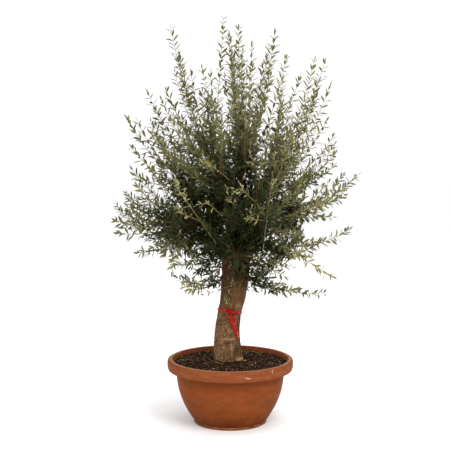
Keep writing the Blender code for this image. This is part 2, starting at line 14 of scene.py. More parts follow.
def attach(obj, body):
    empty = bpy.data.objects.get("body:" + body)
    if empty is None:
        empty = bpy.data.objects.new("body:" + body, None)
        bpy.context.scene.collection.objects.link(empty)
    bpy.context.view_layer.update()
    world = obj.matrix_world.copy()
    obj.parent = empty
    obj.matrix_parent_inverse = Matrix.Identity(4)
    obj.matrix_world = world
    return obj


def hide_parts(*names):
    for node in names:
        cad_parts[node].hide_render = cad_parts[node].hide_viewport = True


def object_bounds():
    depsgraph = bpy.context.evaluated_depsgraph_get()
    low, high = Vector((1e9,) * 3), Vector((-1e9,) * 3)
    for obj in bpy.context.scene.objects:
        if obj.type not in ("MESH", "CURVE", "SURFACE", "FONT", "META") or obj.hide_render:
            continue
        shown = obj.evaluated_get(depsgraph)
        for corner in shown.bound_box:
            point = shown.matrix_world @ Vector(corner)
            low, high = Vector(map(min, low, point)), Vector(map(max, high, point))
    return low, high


bl_info = {
    "name": "Potted olive tree",
    "version": (1, 0, 0),
    "blender": (4, 5, 0),
    "location": "View3D > Sidebar > Olive tree",
    "description": "Dresses a potted olive tree with its bowl, soil, bark, twigs, leaves and tape",
    "category": "Object",
}

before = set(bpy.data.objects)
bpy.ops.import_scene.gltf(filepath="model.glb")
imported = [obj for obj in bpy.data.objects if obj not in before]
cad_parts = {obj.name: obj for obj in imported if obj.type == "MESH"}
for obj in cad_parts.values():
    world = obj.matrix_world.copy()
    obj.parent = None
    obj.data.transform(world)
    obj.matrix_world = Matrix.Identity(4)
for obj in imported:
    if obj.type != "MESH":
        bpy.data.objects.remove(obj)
FRAME_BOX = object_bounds()

UP = Vector((0.0, 0.0, 1.0))
GAP = 0.0003

# ---- Sizes that the solids are made to ----

# The pot's rim, from behind its band, under it, up its outer side and over into the mouth
RIM_PROFILE = (
    (0.282, 0.296), (0.295, 0.29), (0.2918, 0.254), (0.2958, 0.254), (0.3, 0.268),
    (0.3, 0.29), (0.297, 0.3), (0.29, 0.304), (0.278, 0.304), (0.274, 0.299), (0.271, 0.288),
)
BODY_TOP_RADIUS = 0.2575
BODY_TOP_HEIGHT = 0.254
BODY_FOOT_RADIUS = 0.165
BODY_BULGE = 2.15
BODY_LOW_RING = 0.016
BODY_HIGH_RING = 0.25
FOOT_RADIUS = 0.1738
FOOT_HEIGHT = 0.014
POT_WALL = 0.005
FLOOR_HEIGHT = 0.01
FLOOR_RADIUS = 0.1648
DRAIN_HOLES = 4
DRAIN_RADIUS = 0.008
DRAIN_RING_RADIUS = 0.11
SOIL_EDGE_HEIGHT = 0.283
SOIL_MIDDLE_HEIGHT = 0.2917
SOIL_SEAT_RADIUS = 0.112

# The trunk's stations: height, middle's x and width
TRUNK_Y = 0.025
TRUNK_FOOT_HEIGHT = SOIL_MIDDLE_HEIGHT + GAP
TRUNK_STATIONS = (
    (TRUNK_FOOT_HEIGHT, -0.01, 0.142), (0.335, -0.0147, 0.132), (0.396, -0.0162, 0.122),
    (0.454, -0.0131, 0.113), (0.512, -0.0071, 0.11), (0.57, 0.0069, 0.117),
    (0.654, 0.0195, 0.124), (0.72, 0.0245, 0.128), (0.78, 0.026, 0.132),
    (0.825, 0.0245, 0.112), (0.85, 0.023, 0.07),
)
TRUNK_CROWN_STATION = 4
FLUTES = ((3, 0.045, 0.6), (5, 0.025, 2.1))

FORK = Vector((0.024, TRUNK_Y, 0.8))
HEAD = Vector((0.022, 0.02, 0.879))
COLLAR_REACH = 0.08
BOUGH_REACH = 0.2
LIMB_REACH = 0.19
SIDE_COLLAR = 0.009
SIDE_ANGLE = radians(58)
LIMB_RADII = (0.012, 0.0085)
LIMB_SAMPLES = 24
# Bough, bearing and lean of its foot in degrees, the mass at its tip, base radius, tip radius
BOUGHS = (
    ("middle", 90, 0, "top_back", 0.026, 0.012),
    ("left", 180, 66, "upper_left", 0.034, 0.013),
    ("right", 0, 64, "middle_right", 0.033, 0.013),
    ("back", 95, 66, "upper_back_left", 0.027, 0.012),
    ("front", 262, 66, "upper_front_left", 0.024, 0.012),
)
# Mass, bearing and lean of its middle line in degrees, what carries it, and the share of that bough's
# length (or of the trunk's height) where its own limb leaves; 1 is a bough's tip
MASSES = (
    ("top_left", 180, 17, "middle", 0.42),
    ("top_back", 65, 15, "middle", 1.0),
    ("top_front", 295, 15, "middle", 0.55),
    ("upper_left", 180, 41, "left", 1.0),
    ("upper_back_left", 108, 39, "back", 1.0),
    ("upper_back_right", 36, 38, "right", 0.4),
    ("upper_front_right", 324, 38, "right", 0.55),
    ("upper_front_left", 252, 39, "front", 1.0),
    ("middle_right", 0, 64, "right", 1.0),
    ("middle_back_right", 72, 70, "back", 0.5),
    ("middle_back_left", 144, 70, "left", 0.55),
    ("middle_front_left", 216, 70, "left", 0.4),
    ("middle_front_right", 288, 70, "front", 0.5),
    ("lower_left", 180, 92, "left", 0.25),
    ("lower_right", 0, 103, "right", 0.2),
    ("lower_back", 90, 108, "back", 0.22),
    ("lower_front", 270, 100, "front", 0.22),
    ("bottom_left", 180, 138, "trunk", 0.76),
    ("bottom_right", 0, 136, "trunk", 0.75),
)
# How far the crown reaches from the head at leans of 0, 20 ... 160 degrees: right, back, left, front
LEAN_STEP = 20
REACHES = (
    (1.06, 1.03, 0.78, 0.7, 0.6, 0.56, 0.53, 0.42, 0.32),
    (1.06, 1.04, 0.82, 0.68, 0.62, 0.57, 0.48, 0.4, 0.31),
    (1.06, 1.08, 0.84, 0.66, 0.63, 0.58, 0.43, 0.38, 0.31),
    (1.06, 1.04, 0.82, 0.68, 0.6, 0.42, 0.26, 0.22, 0.2),
)

# The rule for the main shoots
CELL_MARGIN = 0.003
LIMB_MARGIN = 0.005
SIDE_SHOOTS = 5
SMALL_REACH = 0.45
SMALL_SIDE_SHOOTS = 3
LEADER_RINGS = 5
FAN_NEIGHBOURS = 4
FAN_SPREAD = (0.75, 1.1)
FAN_CLOSING = 0.5
SHOOT_SPACING = (0.06, 0.48)
SHOOT_TURN = 0.3
SHOOT_LENGTH = (0.86, 1.0)
SHOOT_TRIES = 12
SHOOT_SAMPLES = 10
LEADER_START = 0.3
LEADER_BEND = 0.6
STEM_BASE = 0.9
SAG = 0.1
WOOD_CUT = 0.099  # the solids' wood ends this far before a shoot's end

# The tape
TAPE_HEIGHT = 0.5245
TAPE_TILT = -0.17
TAPE_LIFT = 0.16

# The camera
CAMERA_PLACE = (-0.0205, -4.5, 1.323)
CAMERA_PITCH = radians(90.0 - 4.92)
CAMERA_LENS = 76.2

# ---- Sizes of the finer growth ----

# Shoots that stand out at the crown's right (plus) and left (minus): lean in degrees, reach
LONG_SHOOTS = (
    (-3, 1.058), (-17, 1.048), (1, 1.005), (11, 1), (5, 0.93), (-1.2, 0.95), (-0.3, 0.88), (2, 0.86),
    (-0.6, 0.85), (4, 0.8), (9, 0.86), (15.9, 0.9), (24, 0.935), (27, 0.95), (32, 0.865), (-15, 0.826),
    (-20, 0.853), (-18, 0.79), (-11, 0.833), (-1, 0.74), (12, 0.78), (18, 0.74), (7, 0.74), (22, 0.84),
    (19, 0.7), (22, 0.72), (27, 0.78), (38, 0.723), (44, 0.695), (47, 0.666), (-25, 0.789), (-28, 0.76),
    (-31, 0.824), (-25, 0.72), (-27, 0.68), (-36, 0.7), (-39, 0.66), (-42, 0.785), (-49, 0.669),
    (-38, 0.62), (54, 0.6), (60, 0.616), (63, 0.676), (69, 0.584), (78, 0.5), (86, 0.57), (98, 0.4),
    (112, 0.524), (122, 0.531), (130, 0.42), (139, 0.385), (144, 0.306), (-56, 0.621), (-62, 0.548),
    (-68, 0.582), (-75, 0.61), (-73, 0.54), (-77, 0.59), (-82, 0.6), (-66, 0.52), (-78, 0.54), (-70, 0.57),
    (-74, 0.56), (-99, 0.497), (-103, 0.38), (-114, 0.35), (-125, 0.366), (-133, 0.365), (-151, 0.293),
    (-118, 0.37), (-129, 0.34), (-138, 0.34), (-144, 0.33), (-88, 0.585), (-116, 0.33), (118, 0.33),
    (128, 0.33), (135, 0.35), (138, 0.36), (92, 0.33), (-12, 0.68), (-34, 0.64), (-29, 0.66), (65, 0.61),
    (50, 0.64), (-76, 0.565), (-80, 0.545), (-85, 0.56), (-101, 0.37), (-97, 0.42), (3, 0.68), (-6, 0.64),
    (-16.8, 0.93), (-18, 0.88), (-15.5, 0.76), (-1.8, 0.975), (-1.2, 0.9), (-0.8, 0.82), (0.5, 0.93),
    (2.2, 0.9), (3.2, 0.76), (-3.7, 0.79), (5.8, 0.84), (6.5, 0.7), (10, 0.93), (12, 0.88), (9.5, 0.78),
    (11.5, 0.7), (16.8, 0.8), (28, 0.86), (29.5, 0.8), (31, 0.76), (36, 0.68), (-8.6, 0.806), (-11, 0.7),
    (-12.5, 0.73), (23, 0.61), (25.5, 0.65), (20.5, 0.62), (28, 0.62), (-32, 0.74), (-40, 0.74),
    (-24, 0.64), (-7, 0.66), (-9.5, 0.7), (-35, 0.68), (-58, 0.59),
)
# How far their tips stand behind the crown's middle, in turn, as shares of the room there, which is
# greater for those that reach less far
LONG_DEPTHS = (0.1, -0.35, 0.6, -0.8, 0.25, -0.15, 0.95, -0.6, 0.45, -1.0, 0.8)
DEPTH_ROOM = (1.38, 0.7)  # the reach without any room, and the room for each metre less
LONG_BOW = 0.18  # of how far out they go: how far they bow outwards
ROUND_SHOOTS = 46  # further long shoots all round
ROUND_LEANS = (10.0, 78.0)
ROUND_TURN = 137.5
ROUND_ASIDE = 0.6  # those that stand less far before or behind than this share of their x are left out
ROUND_REACH = (0.84, 0.98)  # share of the crown's reach
ROUND_STEP = 0.37  # from one share to the next
LONG_START = (0.02, 0.3)  # share of the leader's way where they spring from it
# Slim shoots that cross before the crown's middle: x and height of their starts and ends, sprays
FRONT_SHOOTS = (
    (-0.066, 0.885, -0.228, 1.135, 4), (0.151, 1.021, 0.043, 1.131, 4), (0.006, 1.151, -0.088, 1.233, 2),
    (0.142, 0.844, 0.17, 1.152, 2), (0.07, 0.989, -0.008, 1.089, 1), (-0.115, 0.971, -0.203, 1.025, 2),
    (0.2, 0.975, 0.073, 1.003, 1), (-0.039, 1.003, -0.097, 1.072, 1), (0.141, 1.115, 0.081, 1.279, 1),
    (0.011, 1.093, 0.022, 1.288, 0),
)
FRONT_DEPTHS = (-0.28, -0.45)  # y of their starts and ends
# A bare twig that crosses before the trunk and bears leaves at its end, from point to point
CROSS_TWIG = ((0.07, -0.04, 0.69), (-0.005, -0.075, 0.655), (-0.13, -0.11, 0.625))
# Small sprouts on the trunk: height, angle in degrees and length
SPROUTS = (
    (0.676, -114, 0.03), (0.668, -98, 0.034), (0.65, -103, 0.036), (0.634, -100, 0.03),
    (0.622, -112, 0.026), (0.604, -104, 0.03), (0.592, -118, 0.03), (0.58, -110, 0.03),
    (0.572, -101, 0.03), (0.566, -116, 0.026), (0.598, -94, 0.026), (0.562, -108, 0.024),
    (0.692, -84, 0.036), (0.7, -70, 0.04), (0.712, -96, 0.044), (0.728, -108, 0.044),
)
FLAT_BEYOND = (0.02, 0.14)  # of the crown's reach: how far other shoots stand out of its dense part
ROUND_BEYOND = 0.15
FINE_FAN = 1.25
FINE_START = (0.0, 0.5)
FINE_REACH = (0.5, 1.08)  # share of the dense part's reach
FINE_MARGIN = -0.04
FINE_SAMPLES = 8
LEAST_REACH = 0.22
# The share of that reach that is dense with side twigs, at the same leans and on the same sides
DENSES = (
    (0.43, 0.37, 0.51, 0.57, 0.6, 0.52, 0.27, 0.3, 0.44),
    (0.43, 0.38, 0.53, 0.62, 0.64, 0.54, 0.44, 0.42, 0.46),
    (0.43, 0.34, 0.57, 0.5, 0.58, 0.44, 0.38, 0.38, 0.32),
    (0.43, 0.38, 0.53, 0.62, 0.62, 0.58, 0.54, 0.5, 0.48),
)
THINNED = (0.62, 1.42)  # shares of the dense part's reach between which the side twigs thin out
TWIG_END = 1.45  # share of the dense part's reach where their ends stop
# Masses with more or fewer fine shoots than the rest
BUSHINESS = {
    "bottom_left": 0.3, "bottom_right": 0.45,
    "top_left": 0.7, "top_back": 0.7, "top_front": 0.7, "upper_left": 1.3,
    "upper_front_left": 0.9, "upper_front_right": 0.6, "upper_back_right": 0.65, "middle_right": 1.4,
    "middle_back_left": 0.9, "middle_front_left": 0.8, "middle_back_right": 0.9, "lower_left": 1.1,
    "lower_right": 1.35, "middle_front_right": 1.2,
}
# The orders of twigs, the faces round each and along it, and how quickly each thins out
LEADER, SHOOT, SIDE, FRONT = range(4)
TWIG_SIDES = (8, 6, 4, 6)
TWIG_RINGS = (12, 10, 4, 10)
TAPERS = (2.4, 1.0, 1.0, 1.0)
# Radii of the twigs' wood at its start and at its end
MAIN_WOOD = (0.0028, 0.0009)
LONG_WOOD = (0.0022, 0.0008)
FINE_WOOD = (0.0019, 0.0008)
SIDE_WOOD = (0.001, 0.0005)
INNER_WOOD = (0.0017, 0.0007)
FINER_WOOD = (0.001, 0.0006)
FRONT_WOOD = (0.0019, 0.0011)
SPROUT_WOOD = (0.0009, 0.0005)
CROSS_WOOD = (0.0013, 0.0007)
# Where the leaves begin along a twig, how far apart its pairs stand, and its leaves' size
SHOOT_LEAVES = (0.32, 0.95, 1.0)
SIDE_LEAVES = (0.16, 0.86, 0.9)
INNER_LEAVES = (0.15, 0.86, 0.9)
FRONT_LEAVES = (0.6, 1.0, 0.72)
SPRAY_LEAVES = (0.1, 0.8, 0.68)
SPROUT_LEAVES = (0.15, 0.55, 0.46)
CROSS_LEAVES = (0.55, 1.0, 0.72)
# Leaves in front of the trunk thin out between these heights, within this far of its middle
FRONT_FRINGE = (0.745, 0.625)
FRONT_WIDTH = 0.085
LEFT_FRINGE = (0.005, 0.1)  # left of this x they thin out this much higher
FRINGE_POWER = 0.6
LOWEST_TWIG = 0.655  # no short twig inside the crown ends lower, nor does a leaf near the trunk hang
LOWEST_LEAF = 0.615  # below this height
LOW_WIDTH = 0.16
TIP_LEAF = 0.72  # of a leaf's length, kept between a shoot's wood and the crown's reach
TRUNK_CLEAR = 1.06  # of the trunk's radius: leaves stay out of it
BOX_MARGIN = 0.016


def length_property(name, description, default):
    """A length that can be changed, in metres."""
    return bpy.props.FloatProperty(
        name=name, description=description, default=default, subtype="DISTANCE", unit="LENGTH")


def count_property(name, description, default, least=0):
    """A number of things that can be changed."""
    return bpy.props.IntProperty(name=name, description=description, default=default, min=least)


class OliveSizes(bpy.types.PropertyGroup):
    """Sizes of the parts that can be changed."""

    pot_steps: count_property("Pot steps", "Faces round the pot", 144, 24)
    pot_bevel: length_property("Pot edge", "Rounding of the pot's edges", 0.0016)
    pot_waves: length_property("Pot waves", "Unevenness of the moulded wall", 0.0007)
    soil_lumps: length_property("Soil lumps", "Height of the soil's lumps", 0.0042)
    crumbs: count_property("Crumbs", "Loose crumbs and chips on the soil", 4200)
    voxel: length_property("Bark mesh", "Size of the bark's faces", 0.0028)
    bark_ridges: length_property("Bark ridges", "Height of the bark's ridges", 0.003)
    fine_shoots: count_property("Fine shoots", "Further shoots in each mass of foliage", 20)
    inner_spacing: length_property("Inner spacing", "Between short twigs along the limbs", 0.014)
    inner_length: length_property("Inner length", "Longest short twig on the limbs", 0.15)
    trunk_twigs: count_property("Trunk twigs", "Short twigs round the trunk's top", 20)
    apron_twigs: count_property("Apron twigs", "Short twigs before the trunk's fork", 40)
    bib_twigs: count_property("Bib twigs", "Short twigs that hang before the trunk's top", 10)
    stub_twigs: count_property("Stub twigs", "Short twigs on each stub of the trunk", 3)
    lateral_spacing: length_property("Twig spacing", "Between side twigs along a shoot", 0.046)
    lateral_length: length_property("Twig length", "Longest side twig", 0.15)
    pair_spacing: length_property("Leaf spacing", "Between opposite pairs of leaves", 0.019)
    leaf_length: length_property("Leaf length", "Length of a full-grown leaf", 0.042)
    leaf_width: length_property("Leaf width", "Width of a full-grown leaf", 0.011)
    tape_width: length_property("Tape width", "Width of the red tape", 0.0112)


def colour_property(name, description, default):
    """A colour that can be changed, in linear red, green and blue."""
    return bpy.props.FloatVectorProperty(
        name=name, description=description, default=default, subtype="COLOR", size=3,
        min=0.0, max=1.0)


class OliveColours(bpy.types.PropertyGroup):
    """Colours of the parts that can be changed."""

    pot: colour_property("Pot", "Clay-coloured plastic", (0.196, 0.05, 0.0122))
    pot_dust: colour_property("Pot dust", "Pale film on the pot", (0.33, 0.125, 0.048))
    soil: colour_property("Soil", "Damp potting soil", (0.0185, 0.0088, 0.004))
    chips: colour_property("Chips", "Bark chips in the soil", (0.09, 0.04, 0.018))
    perlite: colour_property("Perlite", "White grains in the soil", (0.5, 0.47, 0.42))
    bark: colour_property("Bark", "Bark between its ridges", (0.058, 0.028, 0.012))
    bark_ridge: colour_property("Bark ridge", "Worn ridges of the bark", (0.188, 0.103, 0.05))
    twig: colour_property("Twig", "Young twigs", (0.19, 0.148, 0.066))
    leaf_top: colour_property("Leaf top", "Upper side of a full-grown leaf", (0.043, 0.052, 0.0128))
    leaf_under: colour_property("Leaf underside", "Silvery underside", (0.171, 0.17, 0.084))
    leaf_young: colour_property("Young leaf", "Upper side of a new leaf", (0.216, 0.199, 0.069))
    weed: colour_property("Weed", "Seedlings on the soil", (0.26, 0.29, 0.095))
    tape: colour_property("Tape", "Red marker tape", (0.47, 0.004, 0.003))


# ---- Small helpers ----


def mix(low, high, share):
    """The value a share of the way from low to high."""
    return low + (high - low) * share


def level_vector(angle):
    """The unit vector at an angle round the Z axis."""
    return Vector((cos(angle), sin(angle), 0.0))


def deselect_all():
    """Leave nothing selected, in object mode."""
    if bpy.context.object and bpy.context.object.mode != "OBJECT":
        bpy.ops.object.mode_set(mode="OBJECT")
    bpy.ops.object.select_all(action="DESELECT")


def select_only(*things):
    """Select these objects, the first of them active."""
    deselect_all()
    for thing in things:
        thing.select_set(True)
    bpy.context.view_layer.objects.active = things[0]


def fused(name, *parts):
    """Several objects made one."""
    select_only(*parts)
    bpy.ops.object.join()
    parts[0].name = name
    return parts[0]


def apply_modifiers(thing):
    """Apply every modifier of an object, in their order."""
    select_only(thing)
    for modifier in list(thing.modifiers):
        bpy.ops.object.modifier_apply(modifier=modifier.name)


def settle(thing):
    """Put the object's place, turn and scale into its mesh."""
    select_only(thing)
    bpy.ops.object.transform_apply(location=True, rotation=True, scale=True)


def face_outwards():
    """Turn every face of the mesh in edit mode outwards, and leave edit mode."""
    bpy.ops.mesh.select_all(action="SELECT")
    bpy.ops.mesh.normals_make_consistent(inside=False)
    bpy.ops.object.mode_set(mode="OBJECT")


def extrude_ring(shift, share, centre):
    """Extrude the selected ring by a shift and scale it level about its new middle."""
    bpy.ops.mesh.extrude_region_move(TRANSFORM_OT_translate={"value": shift})
    bpy.ops.transform.resize(value=(share, share, 1.0), center_override=centre)


def raise_rings(name, profile, steps):
    """A closed turned body: a filled circle, extruded from one profile point to the next."""
    deselect_all()
    bpy.ops.mesh.primitive_circle_add(
        vertices=steps, radius=profile[0][0], fill_type="NGON", location=(0.0, 0.0, profile[0][1]))
    made = bpy.context.object
    made.name = name
    settle(made)
    bpy.ops.object.mode_set(mode="EDIT")
    for (radius, height), (next_radius, next_height) in pairwise(profile):
        extrude_ring((0.0, 0.0, next_height - height), next_radius / radius, (0.0, 0.0, next_height))
    face_outwards()
    return made


def corner_array(thing):
    """The places of an object's vertices."""
    spots = np.zeros(len(thing.data.vertices) * 3)
    thing.data.vertices.foreach_get("co", spots)
    return spots.reshape(-1, 3)


def move_corners(thing, spots):
    """Put an object's vertices at new places."""
    thing.data.vertices.foreach_set("co", spots.astype(np.float32).ravel())
    thing.data.update()


def shade(thing, angle):
    """Smooth shading up to an angle between faces."""
    select_only(thing)
    bpy.ops.object.shade_smooth_by_angle(angle=radians(angle))


def mesh_object(name, corners, faces, materials, indices=None):
    """An object from arrays of corners and of triangles or quads."""
    mesh = bpy.data.meshes.new(name)
    counts = np.concatenate([np.full(len(block), block.shape[1]) for block in faces])
    loops = np.concatenate([block.ravel() for block in faces])
    starts = np.concatenate(([0], np.cumsum(counts)[:-1]))
    mesh.vertices.add(len(corners))
    mesh.vertices.foreach_set("co", np.asarray(corners, np.float32).ravel())
    mesh.loops.add(len(loops))
    mesh.loops.foreach_set("vertex_index", loops.astype(np.int32))
    mesh.polygons.add(len(counts))
    mesh.polygons.foreach_set("loop_start", starts.astype(np.int32))
    mesh.polygons.foreach_set("loop_total", counts.astype(np.int32))
    for material in materials:
        mesh.materials.append(material)
    if indices is not None:
        mesh.polygons.foreach_set("material_index", np.concatenate(indices).astype(np.int32))
    mesh.update(calc_edges=True)
    mesh.validate()
    made = bpy.data.objects.new(name, mesh)
    bpy.context.scene.collection.objects.link(made)
    return made


def stand_for(piece, slot, *nodes):
    """Ride on the body and stand for these nodes; the slot is not used."""
    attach(piece, "root")
    if nodes:
        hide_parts(*nodes)


# ---- Finishes ----


class Finish:
    """A Principled material, built up from patterns in the object's own space."""

    def __init__(self, name, colour, roughness, specular):
        self.material = bpy.data.materials.new(name)
        self.material.use_nodes = True
        self.material.diffuse_color = (*colour, 1.0)
        self.tree = self.material.node_tree
        self.shader = self.tree.nodes["Principled BSDF"]
        self.body = colour
        self.feed(colour, self.shader.inputs["Base Color"])
        self.feed(roughness, self.shader.inputs["Roughness"])
        self.feed(specular, self.shader.inputs["Specular IOR Level"])

    def feed(self, value, socket):
        """Link another node's output to a socket, or put a plain value or colour on it."""
        if isinstance(value, bpy.types.NodeSocket):
            self.tree.links.new(value, socket)
        else:
            socket.default_value = (*value, 1.0) if socket.type == "RGBA" else value

    def add(self, kind, output, *values, operation=None, **named):
        """An output of a new node, whose inputs are fed in turn or by their names."""
        node = self.tree.nodes.new("ShaderNode" + kind)
        if operation:
            node.operation = operation
        for socket, value in zip(node.inputs, values):
            self.feed(value, socket)
        for name, value in named.items():
            self.feed(value, node.inputs[name.replace("_", " ")])
        return node.outputs[output]

    def noise(self, scale, rise, detail, roughness=0.55, distortion=0.0, across=1.0):
        """Cloudy noise in a space stretched upwards and across."""
        stretch = (across, across, rise)
        place = self.add("Mapping", "Vector", Vector=self.add("TexCoord", "Object"), Scale=stretch)
        return self.add(
            "TexNoise", "Fac", Vector=place, Scale=scale, Detail=detail, Roughness=roughness,
            Distortion=distortion)

    def pores(self, scale):
        """Distance to the nearest of many scattered points."""
        return self.add("TexVoronoi", "Distance", Vector=self.add("TexCoord", "Object"), Scale=scale)

    def ramp(self, factor, *stops):
        """Colours along a factor."""
        node = self.tree.nodes.new("ShaderNodeValToRGB")
        bar = node.color_ramp
        while len(bar.elements) < len(stops):
            bar.elements.new(0.5)
        for element, (place, colour) in zip(bar.elements, stops):
            element.position = place
            element.color = (*colour, 1.0)
        self.feed(factor, node.inputs["Fac"])
        return node.outputs["Color"]

    def level(self, factor, low, high):
        """A factor that goes from 0 at low to 1 at high."""
        return self.add("MapRange", "Result", Value=factor, From_Min=low, From_Max=high)

    def patches(self, low, high, *pattern, across=1.0):
        """A factor that is 1 in the patches where noise lies above high, and 0 below low."""
        return self.level(self.noise(*pattern, across=across), low, high)

    def along(self, axis):
        """The coordinate along X, Y or Z."""
        return self.add("SeparateXYZ", axis, Vector=self.add("TexCoord", "Object"))

    def spot(self, place, stretch):
        """A factor that falls from 1 at a place to 0 at 1 metre from it, in a stretched space."""
        away = self.add("VectorMath", "Vector", self.add("TexCoord", "Object"), place, operation="SUBTRACT")
        scaled = self.add("VectorMath", "Vector", away, stretch, operation="MULTIPLY")
        return self.level(self.add("VectorMath", "Value", scaled, operation="LENGTH"), 1.0, 0.4)

    def product(self, factor, *others):
        """Factors multiplied together."""
        for other in others:
            factor = self.add("Math", "Value", factor, other, operation="MULTIPLY")
        return factor

    def over(self, below, above, factor):
        """One colour over another."""
        node = self.tree.nodes.new("ShaderNodeMix")
        node.data_type = "RGBA"
        self.feed(factor, node.inputs[0])
        for socket, value in zip([s for s in node.inputs if s.type == "RGBA"], (below, above)):
            self.feed(value, socket)
        return next(socket for socket in node.outputs if socket.type == "RGBA")

    def cover(self, colour, strength, *factors):
        """Lay a colour over the body colour, as strong as the strength times the factors."""
        self.body = self.over(self.body, colour, self.product(*factors, strength))

    def roughness(self, factor, low, high):
        """Roughness between low and high along a factor."""
        rough = self.add("MapRange", "Result", Value=factor, To_Min=low, To_Max=high)
        self.feed(rough, self.shader.inputs["Roughness"])

    def bump(self, factor, distance, strength):
        """Relief from a factor, on top of the relief that is there."""
        normal = self.shader.inputs["Normal"]
        before = {"Normal": normal.links[0].from_socket} if normal.is_linked else {}
        relief = self.add("Bump", "Normal", Height=factor, Distance=distance, Strength=strength, **before)
        self.feed(relief, normal)

    def finished(self):
        """The material, with its body colour in place."""
        self.feed(self.body, self.shader.inputs["Base Color"])
        return self.material


def plain(name, colour, roughness, specular):
    """A material of one colour."""
    return Finish(name, colour, roughness, specular).material


def darker(colour, share):
    """A colour at a share of its brightness."""
    return tuple(channel * share for channel in colour)


def tinted(colour, *shares):
    """A colour with each channel at its own share."""
    return tuple(channel * share for channel, share in zip(colour, shares))


def blend(low, high, share):
    """The colour a share of the way from one to another."""
    return tuple(mix(first, last, share) for first, last in zip(low, high))


BAND_FOOT = (0.246, 0.262)  # heights between which the wall's finish gives way to the rim's
EDGE_HIGHLIGHT = (0.5, 0.27, 0.15)
CHALK = (0.54, 0.32, 0.19)
SCUFF = (0.6, 0.4, 0.26)
# Scuffs on the pot's band: place, and how the space round each is stretched
SCUFFS = (
    ((0.082, -0.288, 0.274), (70.0, 20.0, 260.0)),
    ((0.07, -0.291, 0.278), (110.0, 20.0, 420.0)),
    ((0.19, -0.232, 0.292), (320.0, 20.0, 90.0)),
    ((-0.12, 0.275, 0.28), (60.0, 20.0, 300.0)),
)


def clay_plastic(colours):
    """Clay-coloured plastic: scuffs on the rim, a cloudy wall, painted shade under the rim and low down, and
    dirt in patches.
    """
    base, dust = tuple(colours.pot), tuple(colours.pot_dust)
    grime_and_shade = tinted(base, 0.46, 0.38, 0.3)
    finish = Finish("clay_plastic", base, 0.5, 0.02)
    height = finish.along("Z")
    # The rim: a paler red, streaked with dust, and darker towards the back as painted shade
    finish.body = tinted(base, 1.04, 1.06, 1.6)
    finish.cover(darker(dust, 1.18), 0.24, finish.patches(0.44, 0.62, 20.0, 3.0, 7.0, 0.68, across=0.8))
    # Painted shade: the rim darkens away from its front, over its sides and back
    finish.cover(darker(base, 0.45), 0.22, finish.level(finish.along("Y"), -0.27, -0.1))
    rim = finish.body
    # The wall: clouds, smears of dust, painted shade towards the foot with dirt in patches there, and
    # painted shade under the band
    cloud = finish.noise(6.0, 1.8, 6.0, 0.6)
    finish.body = finish.ramp(cloud, (0.32, darker(base, 0.76)), (0.5, base), (0.7, darker(base, 1.16)))
    finish.cover(dust, 0.26, finish.patches(0.48, 0.74, 13.0, 4.0, 6.0, 0.65))
    low = finish.level(height, 0.105, 0.015)
    # Painted shade: the wall darkens evenly towards the foot; the patches over it are dirt
    finish.cover(grime_and_shade, 0.34, low)
    finish.cover(grime_and_shade, 0.8, low, finish.patches(0.4, 0.6, 19.0, 1.0, 6.0, 0.68))
    # Painted shade in a band under the rim's overhang
    finish.cover(grime_and_shade, 0.46, finish.level(height, 0.205, 0.252), finish.level(height, 0.257, 0.253))
    # The rim over the wall, with a painted highlight on its top edge, chalky marks, scuffs and dirt
    above_wall = finish.level(height, *BAND_FOOT)
    finish.body = finish.over(finish.body, rim, above_wall)
    # Painted highlight along the rim's top edge
    finish.cover(EDGE_HIGHLIGHT, 0.42, finish.level(height, 0.3028, 0.3038))
    finish.cover(CHALK, 0.6, finish.patches(0.64, 0.7, 30.0, 1.6, 7.0, 0.65, across=0.35), above_wall)
    for place, stretch in SCUFFS:
        finish.cover(SCUFF, 0.6, finish.spot(place, stretch))
    finish.cover(grime_and_shade, 0.4, finish.patches(0.58, 0.7, 24.0, 2.2, 6.0, 0.65), above_wall)
    # The foot: a painted highlight on its top edge, painted shade in the crease above it, a painted contact
    # shadow at the ground
    # Painted highlight along the foot's top edge, showing in patches
    worn = finish.patches(0.4, 0.6, 38.0, 2.0, 7.0, 0.7)
    finish.cover(darker(dust, 1.25), 0.7, finish.level(height, 0.0165, 0.012), worn)
    # Painted shade in the crease between the wall and the foot
    crease = finish.level(height, 0.013, 0.0155), finish.level(height, 0.022, 0.017)
    finish.cover(darker(grime_and_shade, 0.8), 0.7, *crease)
    # Painted contact shadow along the foot's edge on the ground
    finish.cover(darker(grime_and_shade, 0.4), 0.85, finish.level(height, 0.005, 0.002))
    finish.cover(darker(base, 0.5), 0.35, finish.patches(0.66, 0.74, 210.0, 1.0, 2.0))
    finish.roughness(cloud, 0.4, 0.58)
    finish.bump(finish.noise(260.0, 1.0, 3.0), 0.0006, 0.3)
    finish.bump(finish.noise(22.0, 2.5, 4.0), 0.0015, 0.35)
    return finish.finished()


def potting_soil(colours):
    """Dark crumbly soil with fibres of bark."""
    base = tuple(colours.soil)
    finish = Finish("potting_soil", base, 0.95, 0.08)
    finish.body = finish.ramp(
        finish.noise(32.0, 1.0, 8.0, 0.7),
        (0.38, darker(base, 0.18)), (0.52, darker(base, 0.75)), (0.7, darker(base, 3.0)))
    finish.cover(darker(tuple(colours.chips), 0.75), 0.5, finish.patches(0.6, 0.7, 85.0, 1.0, 4.0, 0.6))
    finish.bump(finish.noise(110.0, 1.0, 6.0, 0.7), 0.006, 0.9)
    return finish.finished()


